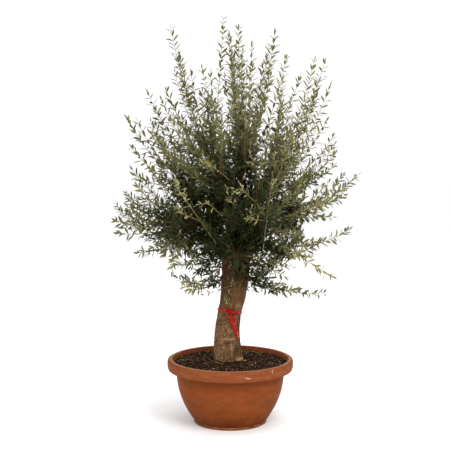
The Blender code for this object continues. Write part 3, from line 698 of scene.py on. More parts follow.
# Patches of dark and pale bark: brightness, strength, place, and how the space there is stretched
PATCHES = (
    (0.2, 0.7, (-0.014, -0.03, 0.384), (38.0, 12.0, 95.0)),
    (2.6, 0.85, (0.008, -0.03, 0.358), (100.0, 12.0, 50.0)),
    (0.22, 0.6, (0.024, -0.025, 0.338), (52.0, 12.0, 45.0)),
    (1.7, 0.45, (-0.055, -0.01, 0.332), (30.0, 12.0, 22.0)),
    (2.6, 0.3, (0.034, -0.028, 0.56), (80.0, 12.0, 55.0)),
    (0.2, 0.5, (0.05, 0.0, 0.45), (48.0, 12.0, 12.0)),
)


def olive_bark(colours):
    """Brown bark: stippled below the tape; above it streaked, darker and redder on the right; painted shade
    under the crown and down the lower trunk's right side.
    """
    deep, ridge = tuple(colours.bark), tuple(colours.bark_ridge)
    finish = Finish("olive_bark", ridge, 0.9, 0.05)
    height, aside = finish.along("Z"), finish.along("X")
    streaks = finish.noise(110.0, 0.14, 6.0, 0.65, 0.3)
    finish.body = finish.ramp(
        streaks, (0.34, darker(deep, 0.6)), (0.45, darker(ridge, 0.46)), (0.55, darker(ridge, 0.8)),
        (0.68, darker(ridge, 1.45)))
    finish.cover(tinted(ridge, 0.7, 0.5, 0.42), 0.45, finish.level(height, 0.54, 0.6))
    streaked = finish.body
    grain = finish.noise(165.0, 0.75, 4.0, 0.72)
    finish.body = finish.ramp(
        grain, (0.34, darker(deep, 0.6)), (0.42, darker(ridge, 0.45)), (0.49, darker(ridge, 0.8)),
        (0.55, darker(ridge, 1.25)), (0.64, darker(ridge, 2.4)))
    finish.cover(streaked, 0.72, finish.level(height, TAPE_HEIGHT - 0.03, TAPE_HEIGHT + 0.05))
    # Grey-brown at the left of the upper trunk, and painted shade under the crown
    mossy = finish.level(aside, 0.016, -0.004), finish.level(height, 0.545, 0.6)
    finish.cover(tinted(ridge, 0.34, 0.36, 0.36), 0.55, *mossy)
    # Painted shade: the trunk darkens under the crown
    finish.cover(darker(deep, 0.6), 0.62, finish.level(height, 0.62, 0.74))
    # Dark patches all over, and pale ones on the lower trunk
    finish.cover(darker(deep, 0.9), 0.42, finish.patches(0.5, 0.64, 26.0, 0.6, 6.0, 0.62))
    pale = finish.patches(0.54, 0.66, 21.0, 0.7, 7.0, 0.62)
    finish.cover(darker(ridge, 1.9), 0.55, pale, finish.level(height, 0.6, 0.5))
    # Painted shade on the right side below the tape, and a dark neck under the tape
    right = finish.level(aside, 0.008, 0.034), finish.level(height, 0.5, 0.42)
    # Painted shade down the trunk's right side
    finish.cover(darker(deep, 0.9), 0.4, *right)
    neck = finish.level(height, 0.415, 0.47), finish.level(height, 0.545, 0.52)
    finish.cover(darker(deep, 1.1), 0.3, *neck)
    # The pale line of a scar, broken here and there
    scar = finish.level(height, 0.3965, 0.399), finish.level(height, 0.4055, 0.4025)
    broken = (
        finish.patches(0.26, 0.4, 70.0, 1.0, 3.0),
        finish.level(aside, 0.03, 0.018), finish.level(aside, -0.046, -0.036))
    finish.cover(darker(ridge, 2.2), 0.85, *scar, *broken)
    for share, strength, place, stretch in PATCHES:
        patch = finish.spot(place, stretch), finish.level(grain, 0.36, 0.52)
        finish.cover(darker(ridge, share), strength, *patch)
    toe = finish.level(aside, 0.022, 0.038), finish.level(height, 0.314, 0.302)
    finish.cover(darker(ridge, 2.9), 0.8, *toe)
    pores = finish.level(finish.pores(240.0), 0.06, 0.3)
    finish.body = finish.over(darker(deep, 0.5), finish.body, pores)
    finish.bump(finish.noise(260.0, 0.7, 7.0, 0.72), 0.0035, 0.9)
    return finish.finished()


NEW_GROWTH = (0.34, 0.315, 0.155)


def leaf_shades(colours):
    """Plain shades for the two sides of the leaves, from older leaves in painted shade to new growth."""
    top, under, young = (tuple(c) for c in (colours.leaf_top, colours.leaf_under, colours.leaf_young))
    # Rows of top and underside: rows 0 and 1 are darkened as painted shade; rows 2 to 4 grow lighter towards
    # young leaves, partly young growth and partly painted light, and the undersides of rows 3 and 4 are
    # darkened as painted shade; row 5 is new growth
    sides = (
        (tinted(top, 0.25, 0.31, 0.18), tinted(under, 0.15, 0.185, 0.11)),
        (tinted(top, 0.52, 0.58, 0.46), tinted(under, 0.3, 0.35, 0.25)),
        (blend(top, young, 0.28), under),
        (blend(top, young, 0.66), darker(under, 0.66)),
        (darker(young, 1.15), darker(under, 0.78)),
        (NEW_GROWTH, darker(under, 2.1)),
    )
    shades = []
    for number, (top_colour, under_colour) in enumerate(sides):
        shades.append(plain(f"leaf_top_{number}", top_colour, 0.5, 0.1))
        shades.append(plain(f"leaf_under_{number}", under_colour, 0.85, 0.04))
    return shades


def tape_plastic(colours):
    """Thin red plastic tape, a little worn."""
    base = tuple(colours.tape)
    finish = Finish("red_tape", base, 0.5, 0.15)
    finish.body = finish.ramp(
        finish.noise(60.0, 1.0, 4.0), (0.3, darker(base, 0.6)), (0.6, base), (0.85, darker(base, 1.15)))
    finish.cover((0.8, 0.62, 0.5), 0.85, finish.patches(0.655, 0.69, 170.0, 1.0, 2.0))
    finish.bump(finish.noise(90.0, 1.0, 3.0), 0.0015, 0.6)
    return finish.finished()


# ---- Pot and soil ----

POT_RINGS = 16
DRAIN_STEPS = 24
POT_EDGE_ANGLE = 32  # degrees between faces from which an edge of the pot is rounded
EVEN_FLOOR = 0.12  # radius of the floor's part without flaws
RAGGED_FOOT = (0.004, 0.017)  # heights between which the foot's edge is ragged
WAVY_RIM = 0.299  # above this height the rim goes up and down too
# Waves of the moulded wall: how close they stand, and how far they go in and out
WALL_WAVES = ((7.0, 1.0), (45.0, 0.5))
RAGGED_WAVES = ((90.0, 1.6),)
RIM_WAVES = 9.0
LUMPS_RADIUS = 0.266  # the soil falls off to its edge height out here
SOIL_RINGS = 64
SOIL_STEPS = 224
# Lumps of the soil, and its pointed grains: how close they stand, and how high they are
SOIL_WAVES = ((22.0, 0.6), (62.0, 0.8))
SOIL_GRAINS = (130.0, 0.6)
LITTER_RADIUS = 0.262
LITTER_CLEAR = 0.066  # round the trunk's foot
TRUNK_FOOT_X = -0.012


def body_radius(height):
    """Outer radius of the bowl's wall at a height."""
    share = 1.0 - (1.0 - height / BODY_TOP_HEIGHT) ** BODY_BULGE
    return mix(BODY_FOOT_RADIUS, BODY_TOP_RADIUS, share)


def body_heights(rings):
    """Heights of the rings of the bowl's wall, closer together near its foot."""
    return [mix(BODY_LOW_RING, BODY_HIGH_RING, (ring / rings) ** 1.35) for ring in range(rings + 1)]


def model_pot(sizes, colours):
    """The bowl: wall, turned-down band, mouth and inside, with drain holes and moulding flaws."""
    heights = body_heights(POT_RINGS)
    profile = [(FOOT_RADIUS, 0.0), (FOOT_RADIUS, FOOT_HEIGHT)]
    profile += [(body_radius(height), height) for height in heights]
    profile += RIM_PROFILE
    profile += [(body_radius(height) - POT_WALL, height) for height in heights[:0:-1]]
    profile.append((FLOOR_RADIUS, FLOOR_HEIGHT))
    pot = raise_rings("clay_bowl", profile, sizes.pot_steps)
    deselect_all()
    cutters = []
    for index in range(DRAIN_HOLES):
        place = level_vector(tau * (index + 0.5) / DRAIN_HOLES) * DRAIN_RING_RADIUS
        bpy.ops.mesh.primitive_cylinder_add(
            vertices=DRAIN_STEPS, radius=DRAIN_RADIUS, depth=FLOOR_HEIGHT * 3,
            location=(place.x, place.y, FLOOR_HEIGHT / 2))
        cutters.append(bpy.context.object)
        cut = pot.modifiers.new(f"drain_{index}", "BOOLEAN")
        cut.operation = "DIFFERENCE"
        cut.solver = "EXACT"
        cut.object = cutters[-1]
    edges = pot.modifiers.new("rounded_edges", "BEVEL")
    edges.width = sizes.pot_bevel
    edges.segments = 3
    edges.limit_method = "ANGLE"
    edges.angle_limit = radians(POT_EDGE_ANGLE)
    apply_modifiers(pot)
    for cutter in cutters:
        bpy.data.objects.remove(cutter, do_unlink=True)
    spots = corner_array(pot)
    moved = spots.copy()
    for index, spot in enumerate(spots):
        place = Vector(spot)
        radius = hypot(place.x, place.y)
        if radius < EVEN_FLOOR:
            continue
        ragged = RAGGED_FOOT[0] < place.z < RAGGED_FOOT[1]
        out = radius
        for closeness, share in WALL_WAVES + RAGGED_WAVES if ragged else WALL_WAVES:
            out += noise.noise(place * closeness) * sizes.pot_waves * share
        moved[index, :2] *= out / radius
        if place.z > WAVY_RIM:
            moved[index, 2] += noise.noise(place * RIM_WAVES) * sizes.pot_waves
    move_corners(pot, moved)
    pot.data.materials.append(clay_plastic(colours))
    shade(pot, 35)
    stand_for(pot, "terracotta_plastic", "pot")


def soil_surface(x, y, lumps):
    """Height of the soil: a low mound towards the trunk, with lumps and a dip by the wall."""
    radius = hypot(x, y)
    share = min(max((LUMPS_RADIUS - radius) / (LUMPS_RADIUS - SOIL_SEAT_RADIUS), 0.0), 1.0)
    mound = mix(SOIL_EDGE_HEIGHT, SOIL_MIDDLE_HEIGHT, share * share * (3 - 2 * share))
    spot = Vector((x, y, 0.0))
    rough = sum(noise.noise(spot * closeness) * share for closeness, share in SOIL_WAVES)
    rough += abs(noise.noise(spot * SOIL_GRAINS[0])) * SOIL_GRAINS[1]
    return mound + rough * lumps


def model_soil(sizes, colours):
    """The soil: against the bowl's inside all round, with a lumpy top."""
    heights = body_heights(8)[1:]
    profile = [(FLOOR_RADIUS - GAP, FLOOR_HEIGHT + GAP)]
    profile += [(body_radius(height) - POT_WALL - GAP, height) for height in heights]
    low = (body_radius(BODY_HIGH_RING) - POT_WALL, BODY_HIGH_RING)
    high = RIM_PROFILE[-1]
    edge = mix(low[0], high[0], (SOIL_EDGE_HEIGHT - low[1]) / (high[1] - low[1])) - GAP
    profile.append((edge, SOIL_EDGE_HEIGHT - 0.004))
    profile += [
        (edge * (1.0 - ring / SOIL_RINGS) - 0.0002, SOIL_EDGE_HEIGHT) for ring in range(SOIL_RINGS)]
    soil = raise_rings("potting_soil", profile, SOIL_STEPS)
    spots = corner_array(soil)
    for spot in spots:
        if spot[2] > SOIL_EDGE_HEIGHT - 0.0001:
            spot[2] = soil_surface(spot[0], spot[1], sizes.soil_lumps)
    move_corners(soil, spots)
    soil.data.materials.append(potting_soil(colours))
    shade(soil, 60)
    stand_for(soil, "soil", "soil")


def crumb_template():
    """A rough crumb of 20 faces: its corners and its faces."""
    deselect_all()
    bpy.ops.mesh.primitive_ico_sphere_add(subdivisions=1, radius=0.5)
    crumb = bpy.context.object
    corners = corner_array(crumb)
    faces = np.array([tuple(face.vertices) for face in crumb.data.polygons])
    bpy.data.objects.remove(crumb, do_unlink=True)
    return corners, faces


# What lies on the soil: share of the crumbs, smallest and largest size, shape, roughness, specular
LITTER = (
    (0.5, (0.002, 0.01), (0.7, 1.5, 0.6), 0.95, 0.1),
    (0.26, (0.003, 0.013), (0.3, 2.0, 0.22), 0.85, 0.3),
    (0.022, (0.0025, 0.0065), (0.9, 1.1, 0.8), 0.8, 0.3),
    (0.07, (0.004, 0.015), (0.22, 2.0, 0.12), 0.8, 0.1),
    (0.148, (0.0025, 0.013), (0.45, 1.8, 0.4), 0.95, 0.1),
)
DRY_SCRAP = (0.3, 0.19, 0.095)
CRUMB_SPREAD = (0.75, 1.25)  # how far out each corner of a crumb stands
CRUMB_RAISED = 0.22  # of its thickness: how far its middle lies above the soil


def model_litter(sizes, colours):
    """Crumbs of soil, bark chips, white perlite and dry leaf scraps, strewn over the soil."""
    draw = np.random.default_rng(71)
    corners, faces = crumb_template()
    spots, blocks, indices = [], [], []
    for number, (share, sizes_between, shape, _, _) in enumerate(LITTER):
        for _ in range(int(sizes.crumbs * share)):
            radius = LITTER_RADIUS * sqrt(draw.uniform(0.03, 1.0))
            angle = draw.uniform(0.0, tau)
            x, y = radius * cos(angle), radius * sin(angle)
            if hypot(x - TRUNK_FOOT_X, y - TRUNK_Y) < LITTER_CLEAR:
                continue
            size = mix(*sizes_between, draw.uniform() ** 2)
            turn = Matrix.Rotation(draw.uniform(0, tau), 3, "Z")
            tip = Matrix.Rotation(draw.normal(0.0, 0.3), 3, "X")
            local = corners * np.array(shape) * size * draw.uniform(*CRUMB_SPREAD, corners.shape)
            local = local @ np.array(turn @ tip).T
            height = soil_surface(x, y, sizes.soil_lumps) + size * shape[2] * CRUMB_RAISED
            blocks.append(faces + len(corners) * len(spots))
            spots.append(local + np.array((x, y, height)))
            indices.append(np.full(len(faces), number))
    soil = tuple(colours.soil)
    names = ("soil_crumb", "bark_chip", "perlite", "dry_scrap", "dry_crumb")
    tones = (darker(soil, 1.1), tuple(colours.chips), tuple(colours.perlite), DRY_SCRAP, darker(soil, 8.5))
    finishes = [plain(name, tone, *row[3:]) for name, tone, row in zip(names, tones, LITTER)]
    litter = mesh_object(
        "soil_litter", np.concatenate(spots), [np.concatenate(blocks)], finishes, indices)
    stand_for(litter, "soil")


# Seedlings on the soil: x, y and the size of their leaves
WEEDS = (
    (-0.068, -0.062, 0.017), (-0.054, -0.078, 0.014), (-0.036, -0.068, 0.015), (0.068, -0.022, 0.015),
    (-0.228, 0.012, 0.013), (-0.206, 0.03, 0.009), (-0.11, 0.206, 0.012), (0.068, 0.206, 0.013),
    (0.086, 0.19, 0.01), (0.108, 0.2, 0.014), (0.13, 0.19, 0.011), (0.159, 0.186, 0.012),
    (0.197, -0.05, 0.01), (-0.088, 0.196, 0.01), (0.05, 0.206, 0.009), (0.145, 0.15, 0.009),
)


def model_weeds(sizes, colours):
    """Seedlings on the soil: a few small leaves each, spread from one point."""
    draw = np.random.default_rng(19)
    rows = []
    for x, y, size in WEEDS:
        count = int(draw.integers(3, 6))
        turns = draw.uniform(0.0, tau) + np.arange(count) * tau / count
        rise = draw.uniform(0.25, 1.1, count)
        heading = unit(np.stack((np.cos(turns), np.sin(turns), rise), 1))
        face = unit(np.stack((-np.cos(turns) * rise, -np.sin(turns) * rise, np.ones(count)), 1))
        root = np.array((x, y, soil_surface(x, y, sizes.soil_lumps) + 0.001)) + heading * 0.001
        rows.append([
            root, heading, face, size * draw.uniform(0.7, 1.2, count), size * draw.uniform(0.35, 0.5, count),
            draw.uniform(0.1, 0.3, count), np.zeros(count, int)])
    corners, faces, kinds = leaf_mesh(joined(rows))
    green = tuple(colours.weed)
    finishes = [plain("weed_top", green, 0.6, 0.2), plain("weed_under", darker(green, 0.8), 0.8, 0.1)]
    weeds = mesh_object("soil_weeds", corners, faces, finishes, kinds)
    stand_for(weeds, "soil")


# ---- Trunk, boughs and limbs ----


def trunk_station(height):
    """The trunk's middle and mean radius at a height, along straight lines between its stations."""
    for low, high in pairwise(TRUNK_STATIONS):
        if height <= high[0] or high is TRUNK_STATIONS[-1]:
            share = (height - low[0]) / (high[0] - low[0])
            middle = Vector((mix(low[1], high[1], share), TRUNK_Y, height))
            return middle, mix(low[2], high[2], share) / 2


def trunk_point(height, angle, clear=0.0):
    """A point on the fluted trunk at a height and an angle, or that far clear of it."""
    middle, radius = trunk_station(height)
    wave = sum(depth * cos(count * angle + turn) for count, depth, turn in FLUTES)
    reach = radius * (1.0 + wave) + clear
    return middle + level_vector(angle) * reach


def bearing_vector(bearing, lean):
    """The direction at a bearing round the Z axis and a lean from upright, in degrees."""
    bearing, lean = radians(bearing), radians(lean)
    return Vector((
        sin(lean) * cos(bearing),
        sin(lean) * sin(bearing),
        cos(lean),
    ))


def trimmed(curve, share):
    """The first part of a Bezier curve, up to a share of its way."""
    kept = [curve[0]]
    while len(curve) > 1:
        curve = [low.lerp(high, share) for low, high in pairwise(curve)]
        kept.append(curve[0])
    return kept


def bezier(curve, share):
    """The point a share of the way along a Bezier curve."""
    return trimmed(curve, share)[-1]


def slope_at(points, share):
    """The unit direction of a Bezier curve at a share of its way."""
    return (bezier(points, min(share + 0.01, 1.0)) - bezier(points, max(share - 0.01, 0.0))).normalized()


class Limb:
    """One tapering bough or limb, and where it springs from inside its parent."""

    def __init__(self, name, spring, foot, start, axis, reach, radii):
        self.name = name
        end = HEAD + axis * reach
        third = (end - foot).length / 3
        self.spring = spring
        self.points = [foot, foot + start * third, end - axis * third, end]
        self.radii = radii

    def radius(self, share):
        return mix(*self.radii, share)

    def side_foot(self, share, axis):
        """The middle of the bough, the foot of a side limb there and its direction."""
        middle = bezier(self.points, share)
        along = slope_at(self.points, share)
        outward = HEAD + axis * LIMB_REACH - middle
        outward = (outward - along * outward.dot(along)).normalized()
        start = outward * sin(SIDE_ANGLE) + along * cos(SIDE_ANGLE)
        mouth = middle + start * (self.radius(share) / sin(SIDE_ANGLE) + SIDE_COLLAR)
        return middle, mouth + start * GAP, start

    def samples(self):
        """Points and radii along the limb."""
        shares = [step / LIMB_SAMPLES for step in range(LIMB_SAMPLES + 1)]
        return [(bezier(self.points, share), self.radius(share)) for share in shares]


class Plan:
    """Where the boughs and limbs run, and where the stem of each mass begins."""

    def __init__(self):
        self.axes = {name: bearing_vector(bearing, lean) for name, bearing, lean, _, _ in MASSES}
        self.limbs = {}
        self.feet = {}
        self.stubs = []
        for name, bearing, lean, mass, *radii in BOUGHS:
            axis, start = self.axes[mass], bearing_vector(bearing, lean)
            foot = FORK + start * (COLLAR_REACH + GAP)
            limb = Limb("bough_" + name, FORK, foot, start, axis, BOUGH_REACH, radii)
            self.limbs[name] = limb
            self.feet[mass] = (limb.points[-1] + axis * GAP, radii[1])
        for name, _, _, carrier, share in MASSES:
            axis = self.axes[name]
            if carrier == "trunk":
                middle, radius = trunk_station(share)
                foot = middle + axis * (radius / hypot(axis.x, axis.y) + SIDE_COLLAR + GAP)
                self.stubs.append((middle, foot, LIMB_RADII[1]))
                self.feet[name] = (foot, LIMB_RADII[1])
            elif share < 1.0:
                middle, foot, start = self.limbs[carrier].side_foot(share, axis)
                limb = Limb("limb_" + name, middle, foot, start, axis, LIMB_REACH, LIMB_RADII)
                self.limbs[limb.name] = limb
                self.feet[name] = (limb.points[-1] + axis * GAP, LIMB_RADII[1])
        samples = [sample for limb in self.limbs.values() for sample in limb.samples()]
        crown = TRUNK_STATIONS[TRUNK_CROWN_STATION:]
        for low, high in pairwise(crown):
            samples += [trunk_station(low[0]), trunk_station((low[0] + high[0]) / 2)]
        self.wood_points = np.array([tuple(point) for point, _ in samples])
        self.wood_radii = np.array([radius for _, radius in samples])


def limb_tube(*knots):
    """A closed tube along a curve with knots of place, radius, left and right handle."""
    curve = bpy.data.curves.new("limb", "CURVE")
    curve.dimensions = "3D"
    curve.bevel_depth = 1.0
    curve.bevel_resolution = 3
    curve.resolution_u = 10
    curve.use_fill_caps = True
    spline = curve.splines.new("BEZIER")
    spline.bezier_points.add(len(knots) - 1)
    for knot, values in zip(spline.bezier_points, knots):
        knot.handle_left_type = knot.handle_right_type = "FREE"
        knot.co, knot.radius, knot.handle_left, knot.handle_right = values
    made = bpy.data.objects.new("limb", curve)
    bpy.context.scene.collection.objects.link(made)
    select_only(made)
    bpy.ops.object.convert(target="MESH")
    return bpy.context.object


# Swellings on the trunk: height, angle in degrees, size up and round, and how far they stand out
BURLS = (
    (0.628, -98, 0.02, 0.016, 0.005), (0.612, -62, 0.016, 0.013, 0.0035),
    (0.585, -120, 0.022, 0.014, 0.003), (0.47, -150, 0.024, 0.018, 0.0035),
    (0.372, -70, 0.034, 0.026, 0.004), (0.33, -118, 0.026, 0.022, 0.003),
    (0.345, 20, 0.03, 0.024, 0.0035), (0.3, -42, 0.01, 0.016, 0.006),
    (0.302, -128, 0.014, 0.018, 0.0045), (0.42, 95, 0.03, 0.024, 0.004),
    (0.56, 130, 0.026, 0.02, 0.0035), (0.655, 60, 0.03, 0.022, 0.004),
)
# Hollows: the same, and how deep they are
HOLLOWS = (
    (0.56, -78, 0.06, 0.007, 0.0035), (0.396, -98, 0.004, 0.034, 0.002),
    (0.64, -76, 0.018, 0.008, 0.004), (0.44, 160, 0.05, 0.008, 0.003),
    (0.52, 60, 0.07, 0.008, 0.0035),
)
TRUNK_SIDES = 48
TRUNK_RINGS = 46
# How close the bark's ridges, its grain and its broad swellings stand along X, Y and Z
RIDGE_SPACE = Vector((70.0, 70.0, 15.0))
GRAIN_SPACE = Vector((190.0, 190.0, 120.0))
BROAD_SPACE = Vector((30.0, 30.0, 14.0))
THICK_BARK = 0.055  # radius from which the bark's relief has its full height
THIN_BARK = 0.35  # its height on the thinnest wood
THICK_WOOD = 0.04  # burls and hollows are on wood of at least this radius
ROOT_SWELL = 1.25  # how much wider a limb is where it starts inside its parent
# Where the boughs leave the fork: how far their swellings run, their handles, and their radii
FORK_RUN = (-0.02, 0.115)
FORK_HANDLES = ((-0.03, 0.01), (0.07, 0.12))
FORK_SWELL = (1.9, 0.98)
TRUNK_SAMPLES = 60
TRUNK_TOP = 0.8
BARK_FOOT = 0.004  # the relief fades out this near the flat foot


def model_trunk():
    """A filled circle extruded from station to station and pushed into the trunk's flutes."""
    deselect_all()
    foot, radius = trunk_station(TRUNK_FOOT_HEIGHT)
    bpy.ops.mesh.primitive_circle_add(
        vertices=TRUNK_SIDES, radius=radius, fill_type="NGON", location=foot)
    trunk = bpy.context.object
    settle(trunk)
    bpy.ops.object.mode_set(mode="EDIT")
    heights = [
        mix(TRUNK_FOOT_HEIGHT, TRUNK_STATIONS[-1][0], step / TRUNK_RINGS) for step in range(TRUNK_RINGS + 1)]
    for low, high in pairwise(heights):
        low_middle, low_radius = trunk_station(low)
        high_middle, high_radius = trunk_station(high)
        extrude_ring(high_middle - low_middle, high_radius / low_radius, high_middle)
    face_outwards()
    spots = corner_array(trunk)
    for index, spot in enumerate(spots):
        middle, radius = trunk_station(spot[2])
        angle = atan2(spot[1] - middle.y, spot[0] - middle.x)
        spots[index] = trunk_point(spot[2], angle)
    move_corners(trunk, spots)
    return trunk


def bark_relief(spot, thickness, ridges):
    """How far the bark stands out at a place: ridges and grain, and burls and hollows."""
    strength = min(1.0, thickness / THICK_BARK)
    ridge = 1.0 - abs(noise.noise(spot * RIDGE_SPACE)) * 2.4
    grain = noise.fractal(spot * GRAIN_SPACE, 0.9, 2.1, 3)
    broad = noise.noise(spot * BROAD_SPACE)
    out = (ridge * 0.22 + grain * 0.34 + broad * 0.85) * ridges * mix(THIN_BARK, 1.0, strength)
    if thickness > THICK_WOOD:
        middle, _ = trunk_station(spot.z)
        angle = atan2(spot.y - middle.y, spot.x - middle.x)
        for table, sign in ((BURLS, 1.0), (HOLLOWS, -1.0)):
            for height, place, up_size, round_size, size in table:
                turn = (angle - radians(place) + pi) % tau - pi
                gap = ((spot.z - height) / up_size) ** 2 + (turn * thickness / round_size) ** 2
                if gap < 9.0:
                    out += sign * size * exp(-gap)
    return out


def model_bark(sizes, colours, plan):
    """Trunk, boughs and limbs as one body, with the relief of the bark."""
    parts = [model_trunk()]
    for limb in plan.limbs.values():
        foot, first, second, end = limb.points
        way = (foot - limb.spring) / 3
        base, tip = limb.radii
        parts.append(limb_tube(
            (limb.spring, base * ROOT_SWELL, limb.spring, limb.spring + way),
            (foot, base, foot - way, first), (end, tip, second, end)))
    for middle, foot, radius in plan.stubs:
        way = (foot - middle) / 3
        parts.append(limb_tube(
            (middle, radius * ROOT_SWELL, middle, middle + way), (foot, radius, foot - way, foot)))
    for _, bearing, lean, _, radius, _ in BOUGHS:
        start = bearing_vector(bearing, lean)
        parts.append(limb_tube(*(
            (FORK + start * run, radius * swell, *(FORK + start * handle for handle in handles))
            for run, swell, handles in zip(FORK_RUN, FORK_SWELL, FORK_HANDLES))))
    bark = fused("bark", *parts)
    remesh = bark.modifiers.new("skin", "REMESH")
    remesh.mode = "VOXEL"
    remesh.voxel_size = sizes.voxel
    smooth = bark.modifiers.new("soften", "SMOOTH")
    smooth.factor = 0.6
    smooth.iterations = 8
    apply_modifiers(bark)
    tree = kdtree.KDTree(len(plan.wood_points) + TRUNK_SAMPLES)
    radii = list(plan.wood_radii)
    for index, point in enumerate(plan.wood_points):
        tree.insert(point, index)
    for step in range(TRUNK_SAMPLES):
        middle, radius = trunk_station(mix(TRUNK_FOOT_HEIGHT, TRUNK_TOP, step / (TRUNK_SAMPLES - 1)))
        tree.insert(middle, len(radii))
        radii.append(radius)
    tree.balance()
    spots = corner_array(bark)
    normals = np.zeros(len(spots) * 3)
    bark.data.vertices.foreach_get("normal", normals)
    normals = normals.reshape(-1, 3)
    out = np.zeros(len(spots))
    for index, spot in enumerate(spots):
        place = Vector(spot)
        near = max(radii[found] for _, found, _ in tree.find_n(place, 3))
        out[index] = bark_relief(place, near, sizes.bark_ridges)
    flat = np.clip((spots[:, 2] - TRUNK_FOOT_HEIGHT) / BARK_FOOT, 0.0, 1.0)
    spots += normals * (out * flat)[:, None]
    move_corners(bark, spots)
    bark.data.materials.clear()
    bark.data.materials.append(olive_bark(colours))
    shade(bark, 180)
    nodes = ["trunk"] + [limb.name for limb in plan.limbs.values()]
    stand_for(bark, "bark", *nodes)


# ---- Twigs and leaves ----


def reach_towards(direction, profiles=REACHES):
    """How far the crown reaches in a direction, or another value of its sides."""
    lean = degrees(direction.angle(UP)) / LEAN_STEP
    step = min(int(lean), len(profiles[0]) - 2)
    side = degrees(atan2(direction.y, direction.x)) % 360.0 / 90.0
    sides = (profiles[int(side) % 4], profiles[(int(side) + 1) % 4])
    reaches = [mix(profile[step], profile[step + 1], lean - step) for profile in sides]
    return mix(*reaches, side - int(side))


class Space:
    """The space that one mass keeps to, and the wood that its twigs stay clear of."""

    def __init__(self, name, plan):
        axis = plan.axes[name]
        others = [other for key, other in plan.axes.items() if key != name]
        self.planes = np.array([tuple((axis - other).normalized()) for other in others])
        near = sorted(axis.angle(other) for other in others)[:FAN_NEIGHBOURS]
        self.fan = sum(near) / FAN_NEIGHBOURS / 2
        self.plan = plan

    def holds(self, curve, samples, margin):
        """True where a curve lies inside the space, by a margin, and off the limbs."""
        spots = np.array([tuple(bezier(curve, (step + 1) / samples)) for step in range(samples)])
        if ((spots - np.array(HEAD)) @ self.planes.T).min() < margin:
            return False
        apart = np.linalg.norm(spots[:, None, :] - self.plan.wood_points[None, :, :], axis=2)
        return bool((apart - self.plan.wood_radii[None, :]).min() > LIMB_MARGIN)


def shoot_curve(start, end):
    """The curve of a shoot, which sags the more the further out it runs."""
    way = end - start
    level = hypot(way.x, way.y)
    return [start, start.lerp(end, 0.5) - UP * SAG * level, end]


def fanned(axis, fan, turn):
    """The direction at an angle from an axis, and at a turn round it."""
    around = Matrix.Rotation(turn, 3, axis) @ axis.orthogonal().normalized()
    return (axis * cos(fan) + around * sin(fan)).normalized()


def on_leader(curve, share):
    """The point a share of the way along a leader's wood, straight from ring to ring."""
    step = min(int(share * (LEADER_RINGS - 1)), LEADER_RINGS - 2)
    end = 1.0 - WOOD_CUT / (curve[-1] - curve[0]).length
    low = bezier(curve, end * step / (LEADER_RINGS - 1))
    high = bezier(curve, end * (step + 1) / (LEADER_RINGS - 1))
    return low.lerp(high, share * (LEADER_RINGS - 1) - step)


def main_shoots(name, plan, space):
    """The leader and the side shoots of a mass, by the rule that its solid follows."""
    draw = random.Random("shoots " + name)
    axis = plan.axes[name]
    foot, _ = plan.feet[name]
    tip = HEAD + axis * reach_towards(axis)
    length = (tip - foot).length
    bend = foot.lerp(tip, LEADER_BEND) - UP * SAG * hypot(axis.x, axis.y) * length
    leader = [foot, foot + axis * length * LEADER_START, bend, tip]
    shoots = [leader]
    first_turn = draw.uniform(0.0, tau)
    count = SIDE_SHOOTS if reach_towards(axis) > SMALL_REACH else SMALL_SIDE_SHOOTS
    for number in range(count):
        start = on_leader(leader, mix(*SHOOT_SPACING, number / (count - 1)))
        for attempt in range(SHOOT_TRIES):
            turn = first_turn + number * tau / count + draw.uniform(-SHOOT_TURN, SHOOT_TURN)
            fan = space.fan * draw.uniform(*FAN_SPREAD) * (1.0 - FAN_CLOSING * attempt / SHOOT_TRIES)
            aim = fanned(axis, fan, turn)
            end = HEAD + aim * reach_towards(aim) * draw.uniform(*SHOOT_LENGTH)
            curve = shoot_curve(start, end)
            if space.holds(curve, SHOOT_SAMPLES, CELL_MARGIN):
                shoots.append(curve)
                break
    return shoots


class Twig:
    """A length of wood on a Bezier curve: its radii, its order and the shade of its leaves."""

    def __init__(self, points, radii, order, shade_number):
        self.points = np.array([tuple(point) for point in points])
        self.base_radius, self.tip_radius = radii
        self.order = order
        self.shade = shade_number
        self.length = float(np.linalg.norm(self.points[-1] - self.points[0]))

    def at(self, shares):
        """Points and unit directions at an array of shares."""
        shares = np.asarray(shares, float)[:, None]
        rows = [np.repeat(point[None, :], len(shares), 0) for point in self.points]
        while len(rows) > 2:
            rows = [low + (high - low) * shares for low, high in pairwise(rows)]
        slope = rows[1] - rows[0]
        slope /= np.maximum(np.linalg.norm(slope, axis=1), 1e-9)[:, None]
        return rows[0] + (rows[1] - rows[0]) * shares, slope

    def place(self, share):
        """The point and the unit direction at one share."""
        spots, slopes = self.at([share])
        return spots[0], slopes[0]


def unit(rows):
    """Rows of vectors at length one."""
    return rows / np.maximum(np.linalg.norm(rows, axis=1), 1e-9)[:, None]


def joined(blocks):
    """The rows of several blocks of leaves, one after the other."""
    return [np.concatenate(parts) for parts in zip(*blocks)]


